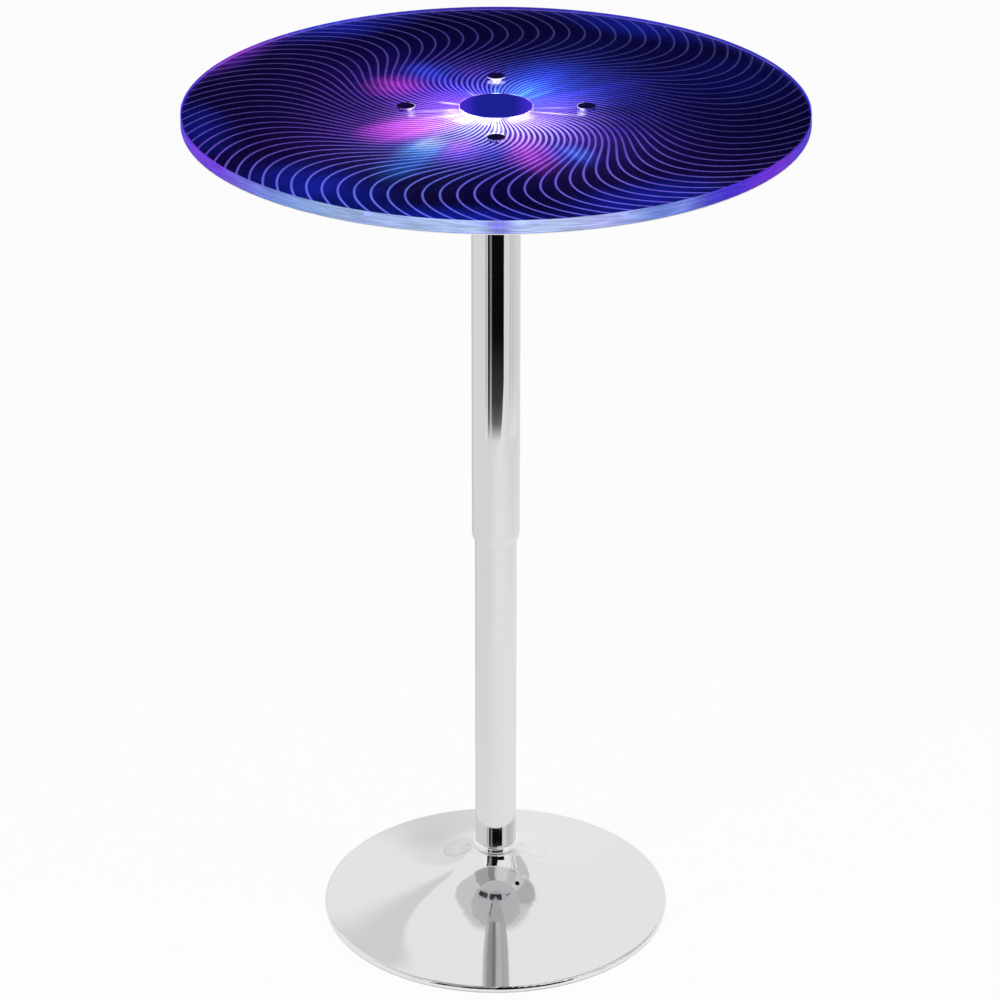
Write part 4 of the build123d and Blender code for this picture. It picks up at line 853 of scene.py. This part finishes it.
# %% Paints, plastics and rubber
COATING_DUST = 0.10
MARK_COARSENESS = 0.1
DUST_GREY = (0.42, 0.41, 0.39)
BARE_STEEL = (0.34, 0.34, 0.35)
coatings = {
    "floor_plastic": ((0.72, 0.72, 0.74), 0.55, 700.0, 0.00004, 0.0, 0.10),
    "guide_plastic": ((0.70, 0.69, 0.64), 0.42, 900.0, 0.00002, 0.0, 0.10),
    "stop_rubber": ((0.018, 0.018, 0.019), 0.82, 600.0, 0.00006, 0.0, 0.30),
    "cylinder_paint": ((0.020, 0.020, 0.022), 0.34, 1300.0, 0.00002, 0.5, 0.15),
    "bracket_paint": ((0.016, 0.016, 0.018), 0.46, 1100.0, 0.00005, 0.7, 0.25),
    "carrier_plastic": ((0.62, 0.62, 0.60), 0.50, 900.0, 0.00002, 0.0, 0.20),
    "grip_rubber": ((0.014, 0.014, 0.015), 0.74, 650.0, 0.00006, 0.0, 0.35),
    "box_plastic": ((0.026, 0.026, 0.028), 0.52, 800.0, 0.00006, 0.0, 0.35),
    "tape_foam": ((0.10, 0.10, 0.10), 0.90, 500.0, 0.00008, 0.0, 0.20),
    "switch_plastic": ((0.040, 0.040, 0.042), 0.45, 1200.0, 0.00002, 0.0, 0.25),
    "cell_wrap": ((0.10, 0.22, 0.34), 0.30, 400.0, 0.00001, 0.0, 0.30),
    "button_plastic": ((0.55, 0.56, 0.58), 0.38, 1000.0, 0.00003, 0.0, 0.20),
    "lead_jacket": ((0.022, 0.022, 0.024), 0.50, 900.0, 0.00002, 0.0, 0.25),
    "clip_plastic": ((0.68, 0.67, 0.62), 0.48, 900.0, 0.00002, 0.0, 0.20),
}


def coated_finish(name, colour, level, scale, depth, wear, contrast):
    material, tree, shader = new_finish(name)
    grain = use_group(tree, moulded_grain, Scale=scale, Contrast=contrast)
    dust = use_group(tree, settled_dust, Amount=COATING_DUST)
    clouded = mix_colour(tree, 1.0, colour, grain["Shade"], "MULTIPLY")
    dusty = mix_colour(tree, dust["Mask"], clouded, DUST_GREY)
    if wear:
        edge = use_group(tree, worn_edges, Amount=wear)
        dusty = mix_colour(tree, edge["Mask"], dusty, BARE_STEEL)
        tree.links.new(edge["Mask"], shader.inputs["Metallic"])
    tree.links.new(dusty, shader.inputs["Base Color"])
    add_marks(tree, shader, scale * MARK_COARSENESS, level, spread=0.08)
    add_bump(tree, shader, grain["Height"], depth)
    return material


for slot, values in coatings.items():
    dress(coated_finish(slot, *values), *slot_pieces[slot])

# %% [markdown]
# Two pieces have a pattern of their own. The circuit board is green lacquer over copper tracks,
# and the flexible strip behind the lights is white with thin copper pads between the packages.

# %% Circuit board and light strip
TRACK_PATTERN = {"Scale": 260.0, "Mortar Size": 0.03, "Brick Width": 1.6, "Row Height": 0.5}
PADS_PER_LIGHT = 2
PAD_EDGE = (0.90, 0.94)


def board_finish():
    material, tree, shader = new_finish("board_green")
    sockets = {"Vector": object_place(tree), **TRACK_PATTERN}
    tracks = add_node(tree, "ShaderNodeTexBrick", sockets).outputs["Fac"]
    colour = mix_colour(tree, tracks, (0.006, 0.085, 0.030), (0.03, 0.19, 0.05))
    tree.links.new(colour, shader.inputs["Base Color"])
    add_marks(tree, shader, scale=220.0, level=0.32, spread=0.08)
    add_bump(tree, shader, tracks, depth=0.00003)
    return material


def strip_finish():
    material, tree, shader = new_finish("light_strip")
    turn = use_group(tree, polar_place)["Turn"]
    round_strip = calculate(tree, "MULTIPLY", turn, 2 * pi * LIGHT_COUNT * PADS_PER_LIGHT)
    pads = remap(tree, calculate(tree, "COSINE", round_strip), *PAD_EDGE)
    colour = mix_colour(tree, pads, (0.78, 0.78, 0.76), (0.60, 0.32, 0.16))
    tree.links.new(colour, shader.inputs["Base Color"])
    add_marks(tree, shader, scale=240.0, level=0.4, spread=0.1)
    return material


dress(board_finish(), *slot_pieces["board_green"])
dress(strip_finish(), *slot_pieces["light_strip"])

# %% [markdown]
# The studio is white all round: a pale floor and a pale world. Camera, mirror and glass rays see
# both as white, and only the light that falls on rough things is dimmer, so nothing clips and the
# floor keeps a soft shadow. The Light Path node tells the rays apart.
#
# Mirrors see the floor a little greyer to the sides and in two sectors behind the table, as the
# foot shows it. The floor lies a hair under the foot, and from below it is transparent, so that
# the table can be looked at from there as well.

# %% The floor
FLOOR_RADIUS = 14.0
FLOOR_SIDES = 96
FLOOR_GAP = 0.0002
FLOOR_WHITE = 0.93
FLOOR_IN_GLASS = 0.1
FLOOR_IN_MIRRORS = 0.88
BRIGHT_STRIP = 0.35
STRIP_FADE = (0.1, 0.9)
BEHIND_SOFTNESS = (4, 4)
floor_behind = [((-175, -132), 0.80), ((132, 175), 0.93)]


def light_path(tree):
    return add_node(tree, "ShaderNodeLightPath").outputs


def seen_directly(tree):
    path = light_path(tree)
    seen = calculate(tree, "MAXIMUM", path["Is Camera Ray"], path["Is Glossy Ray"])
    return calculate(tree, "MAXIMUM", seen, path["Is Transmission Ray"])


def compass(tree, parts):
    """Degrees round the table: 0 towards the camera, 90 to the right, -90 to the left."""
    forwards = calculate(tree, "MULTIPLY", parts["Y"], -1.0)
    return calculate(tree, "DEGREES", calculate(tree, "ARCTAN2", parts["X"], forwards))


def window(tree, value, limits, softness):
    rise = remap(tree, value, limits[0] - softness[0], limits[0] + softness[0])
    fall = remap(tree, value, limits[1] - softness[1], limits[1] + softness[1], 1.0, 0.0)
    return calculate(tree, "MULTIPLY", rise, fall)


def mirrored_floor(tree):
    parts = split(tree, object_place(tree))
    sideways = calculate(tree, "ABSOLUTE", calculate(tree, "SUBTRACT", parts["X"], BRIGHT_STRIP))
    level = remap(tree, sideways, *STRIP_FADE, 1.0, FLOOR_IN_MIRRORS)
    turn = compass(tree, parts)
    for turns, grey in floor_behind:
        level = dim(tree, level, window(tree, turn, turns, BEHIND_SOFTNESS), grey)
    return level


def floor_finish():
    material, tree, shader = new_finish(
        "studio_floor", Base_Color=(0.80, 0.80, 0.80), Roughness=0.9, Specular_IOR_Level=0.0
    )
    path = light_path(tree)
    in_glass = calculate(tree, "MULTIPLY", path["Is Singular Ray"], path["Is Glossy Ray"])
    level = dim(tree, 1.0, path["Is Glossy Ray"], mirrored_floor(tree))
    level = dim(tree, level, in_glass, FLOOR_IN_GLASS)
    glow = add_node(tree, "ShaderNodeEmission", {"Color": (1.0, 1.0, 1.0), "Strength": level})
    share = calculate(tree, "MULTIPLY", seen_directly(tree), FLOOR_WHITE)
    from_above = {0: share, 1: shader.outputs[0], 2: glow.outputs[0]}
    mixed = add_node(tree, "ShaderNodeMixShader", from_above)
    below = add_node(tree, "ShaderNodeNewGeometry").outputs["Backfacing"]
    clear = add_node(tree, "ShaderNodeBsdfTransparent").outputs[0]
    sided = add_node(tree, "ShaderNodeMixShader", {0: below, 1: mixed.outputs[0], 2: clear})
    tree.links.new(sided.outputs[0], tree.nodes["Material Output"].inputs["Surface"])
    return material


def build_floor():
    ring = [2 * pi * number / FLOOR_SIDES for number in range(FLOOR_SIDES)]
    corners = [(FLOOR_RADIUS * cos(at), FLOOR_RADIUS * sin(at), -FLOOR_GAP) for at in ring]
    mesh = bpy.data.meshes.new("studio_floor")
    mesh.from_pydata(corners, [], [tuple(range(FLOOR_SIDES))])
    mesh.materials.append(floor_finish())
    floor = bpy.data.objects.new("studio_floor", mesh)
    bpy.context.scene.collection.objects.link(floor)


build_floor()
print("floor radius", FLOOR_RADIUS)

# %% [markdown]
# The world is a picture of the studio's walls and ceiling, as greys by direction. Each entry of
# the list below darkens one window of directions: its turns round the table and how softly they
# end, its rises above the floor and how softly they end, a slant of its upper and lower edge, and
# its grey. The greys give the foot and the tubes the soft streaks of a real room. Behind the
# table a grey ceiling comes down to an edge. Only mirror rays see all this. The angles are in
# degrees, and a turn of 0 is towards the camera.
#
# The glass top is sharper than the metal, so its mirror rays are singular ones, and the Light
# Path node can tell. For these the room above the horizon is nearly black, as in a dark room, and
# so no white veil lies over the panel and its rays.

# %% The world
WORLD_ON_OBJECT = 0.62
WORLD_IN_MIRRORS = 0.93
WORLD_IN_GLASS = 0.004
GLASS_HORIZON = (0.03, 0.10)
CEILING_GREY = 0.70
CEILING_START = (76, 92)
CEILING_TURNS = (118, 150)
CEILING_RISES = (50, 63.5)
CEILING_SOFTNESS = 1.5
studio_greys = [
    ((-170, -136), (3, 3), (32, 42.3), (5, 0.8), 0.46, 0.79),
    ((-190, -172), (3, 3), (2, 15), (4, 4), 0.0, 0.85),
    ((-176, -136), (4, 4), (-12, 13), (4, 5), 0.0, 0.88),
    ((66, 102), (4, 4), (14, 50), (4, 2), 0.0, 0.64),
    ((106, 140), (4, 4), (51, 95), (3, 1), -0.5, 0.75),
    ((-84, 3), (5, 5), (48, 95), (2, 1), 0.0, 0.45),
    ((-34, -4), (4, 4), (48, 95), (2, 1), 0.0, 0.65),
    ((3, 52), (3, 3), (48, 95), (2, 1), 0.0, 0.75),
    ((52, 84), (4, 4), (48, 95), (2, 1), 0.0, 0.62),
]


def ceiling_share(tree, turn, rise):
    backwards = calculate(tree, "ABSOLUTE", turn)
    edge = remap(tree, backwards, *CEILING_TURNS, *CEILING_RISES)
    past_edge = calculate(tree, "SUBTRACT", rise, edge)
    above = remap(tree, past_edge, -CEILING_SOFTNESS, CEILING_SOFTNESS)
    return calculate(tree, "MULTIPLY", above, remap(tree, backwards, *CEILING_START))


def mirrored_studio(tree, parts):
    turn = compass(tree, parts)
    rise = calculate(tree, "DEGREES", calculate(tree, "ARCSINE", parts["Z"]))
    level = WORLD_IN_MIRRORS
    for turns, turn_softness, rises, rise_softness, slant, grey in studio_greys:
        height = rise
        if slant:
            from_middle = calculate(tree, "SUBTRACT", turn, sum(turns) / 2)
            height = calculate(tree, "MULTIPLY_ADD", from_middle, slant, rise)
        across = window(tree, turn, turns, turn_softness)
        upwards = window(tree, height, rises, rise_softness)
        level = dim(tree, level, calculate(tree, "MULTIPLY", across, upwards), grey)
    return dim(tree, level, ceiling_share(tree, turn, rise), CEILING_GREY)


def build_world():
    world = bpy.data.worlds.new("studio_world")
    bpy.context.scene.world = world
    world.use_nodes = True
    tree = world.node_tree
    path = light_path(tree)
    parts = split(tree, add_node(tree, "ShaderNodeTexCoord").outputs["Generated"])
    level = remap(tree, seen_directly(tree), 0.0, 1.0, WORLD_ON_OBJECT, 1.0, smooth=False)
    level = dim(tree, level, path["Is Glossy Ray"], mirrored_studio(tree, parts))
    above = remap(tree, parts["Z"], *GLASS_HORIZON)
    in_glass = calculate(tree, "MULTIPLY", path["Is Singular Ray"], above)
    level = dim(tree, level, in_glass, WORLD_IN_GLASS)
    background = tree.nodes["Background"]
    background.inputs["Color"].default_value = (1.0, 1.0, 1.0, 1.0)
    tree.links.new(level, background.inputs["Strength"])


build_world()
print("studio greys", len(studio_greys))

# %% [markdown]
# A chrome tube in an all-white room would vanish. Photographers stand black cards just outside
# the picture, and the tube shows them as dark lines. Here a black card stands in front, with
# lower, slimmer and grey ones beside it and thin lines at the sides. Each is a strip of a
# cylinder round the column, between two angles in degrees, anticlockwise from the right, so -90
# is in front. Its greys are stops of height in metres and shade, and they start pale at its foot,
# so the dark line on the upper tube fades downwards. The last value raises one lower corner.
#
# Mirror rays alone see the cards, so they take no light away, and the sharp mirror of the glass
# sees them dimmed.

# %% Cards that only reflections see
CARD_IN_GLASS = 0.12
CARD_SIDES = 32
NEAR, MIDDLE, FAR = 1.16, 1.20, 1.21
LOW, TALL = 0.72, 1.3
black_shades = [(0.0, 0.9), (0.012, 0.45), (0.025, 0.14), (0.058, 0.045), (0.15, 0.004)]
grey_shades = [(0.0, 1.0), (0.10, 0.80), (0.32, 0.80), (0.42, 0.62)]
line_shades = [(0.0, 1.0), (0.08, 0.62), (0.32, 0.58), (0.42, 1.0)]
gap_shades = [(0.0, 0.9), (0.025, 0.5), (0.15, 0.24)]
cards = [
    ("front_card", (-109.2, -80), MIDDLE, TALL, black_shades, 0.0),
    ("low_front_card", (-80, -53), MIDDLE, LOW, black_shades, 0.09),
    ("gap_card", (-118.8, -109.2), FAR, TALL, gap_shades, 0.0),
    ("slim_card", (-128.1, -118.8), MIDDLE, TALL, black_shades, 0.0),
    ("left_line", (-141, -131), MIDDLE, TALL, line_shades, 0.0),
    ("right_card", (-26, 24), MIDDLE, TALL, grey_shades, 0.0),
    ("right_line", (-22, -18), NEAR, TALL, line_shades, 0.0),
    ("far_right_line", (-8, -5), NEAR, TALL, line_shades, 0.0),
]


def card_finish(name, high, shades):
    material = bpy.data.materials.new(name)
    material.use_nodes = True
    tree = material.node_tree
    tree.nodes.remove(tree.nodes["Principled BSDF"])
    height = split(tree, object_place(tree))["Z"]
    share = remap(tree, height, 0.0, high, smooth=False)
    ramp = add_node(tree, "ShaderNodeValToRGB", {"Fac": share})
    first, last = ramp.color_ramp.elements
    first.color = (*(shades[0][1],) * 3, 1.0)
    last.color = (*(shades[-1][1],) * 3, 1.0)
    for at, grey in shades[1:]:
        ramp.color_ramp.elements.new(at / high).color = (grey, grey, grey, 1.0)
    strength = dim(tree, 1.0, light_path(tree)["Is Singular Ray"], CARD_IN_GLASS)
    sockets = {"Color": ramp.outputs["Color"], "Strength": strength}
    glow = add_node(tree, "ShaderNodeEmission", sockets)
    tree.links.new(glow.outputs[0], tree.nodes["Material Output"].inputs["Surface"])
    return material


def build_card(name, angles, distance, high, shades, corner):
    first_angle, last_angle = (radians(angle) for angle in angles)
    corners = []
    for number in range(CARD_SIDES + 1):
        share = number / CARD_SIDES
        turn = first_angle + (last_angle - first_angle) * share
        x, y = distance * cos(turn), distance * sin(turn)
        corners += [(x, y, corner * share**3), (x, y, high)]
    faces = [(at, at + 2, at + 3, at + 1) for at in range(0, 2 * CARD_SIDES, 2)]
    mesh = bpy.data.meshes.new(name)
    mesh.from_pydata(corners, [], faces)
    mesh.materials.append(card_finish(name, high, shades))
    card = bpy.data.objects.new(name, mesh)
    bpy.context.scene.collection.objects.link(card)
    for kind in ("camera", "diffuse", "transmission", "volume_scatter", "shadow"):
        setattr(card, "visible_" + kind, False)


for card in cards:
    build_card(*card)
print("cards", [card[0] for card in cards])

# %% [markdown]
# Two soft lamps give form to what isn't mirror-like. They are broad and weak, and the world does
# the rest, so a colour renders about as it is written. Metal doesn't mirror them and glass
# doesn't show them. Each has a place, a width and a power, in metres and watts.

# %% Lamps
LAMP_TARGET = 0.45


def add_lamp(name, place, width, power):
    data = bpy.data.lights.new(name, "AREA")
    data.shape = "DISK"
    data.size = width
    data.energy = power
    lamp = bpy.data.objects.new(name, data)
    bpy.context.scene.collection.objects.link(lamp)
    lamp.location = place
    towards = (-place[0], -place[1], LAMP_TARGET - place[2])
    flat = (towards[0] ** 2 + towards[1] ** 2) ** 0.5
    lamp.rotation_euler = (atan2(flat, -towards[2]), 0.0, atan2(-towards[0], towards[1]))
    lamp.visible_glossy = False
    lamp.visible_transmission = False


add_lamp("key_lamp", (-1.8, -1.9, 2.6), 0.8, 34.0)
add_lamp("fill_lamp", (2.2, -0.8, 1.8), 1.6, 16.0)
print("lamps ready")

# %% [markdown]
# The camera stands above the table and looks down, as in the photograph. Its place and tilt were
# worked out from the ovals of the top and of the foot: the further a circle lies below the eye,
# the rounder it looks, and that gives the height and the distance. The place is in metres, the
# angles are in degrees, and the lens and the sensor in millimetres.

# %% Camera
CAMERA_PLACE = (0.0, -3.3514, 2.0813)
CAMERA_TILT = 25.714
CAMERA_TURN = 0.043
CAMERA_ROLL = -0.057
CAMERA_LENS = 133.9
CAMERA_SENSOR = 36.0
camera_data = bpy.data.cameras.new("camera")
camera_data.lens = CAMERA_LENS
camera_data.sensor_width = CAMERA_SENSOR
camera = bpy.data.objects.new("camera", camera_data)
bpy.context.scene.collection.objects.link(camera)
camera.location = CAMERA_PLACE
camera.rotation_euler = (
    radians(90 - CAMERA_TILT), radians(CAMERA_ROLL), radians(-CAMERA_TURN)
)
bpy.context.scene.camera = camera
bpy.context.scene.view_settings.view_transform = "Standard"
print("camera at", CAMERA_PLACE, "lens", CAMERA_LENS)
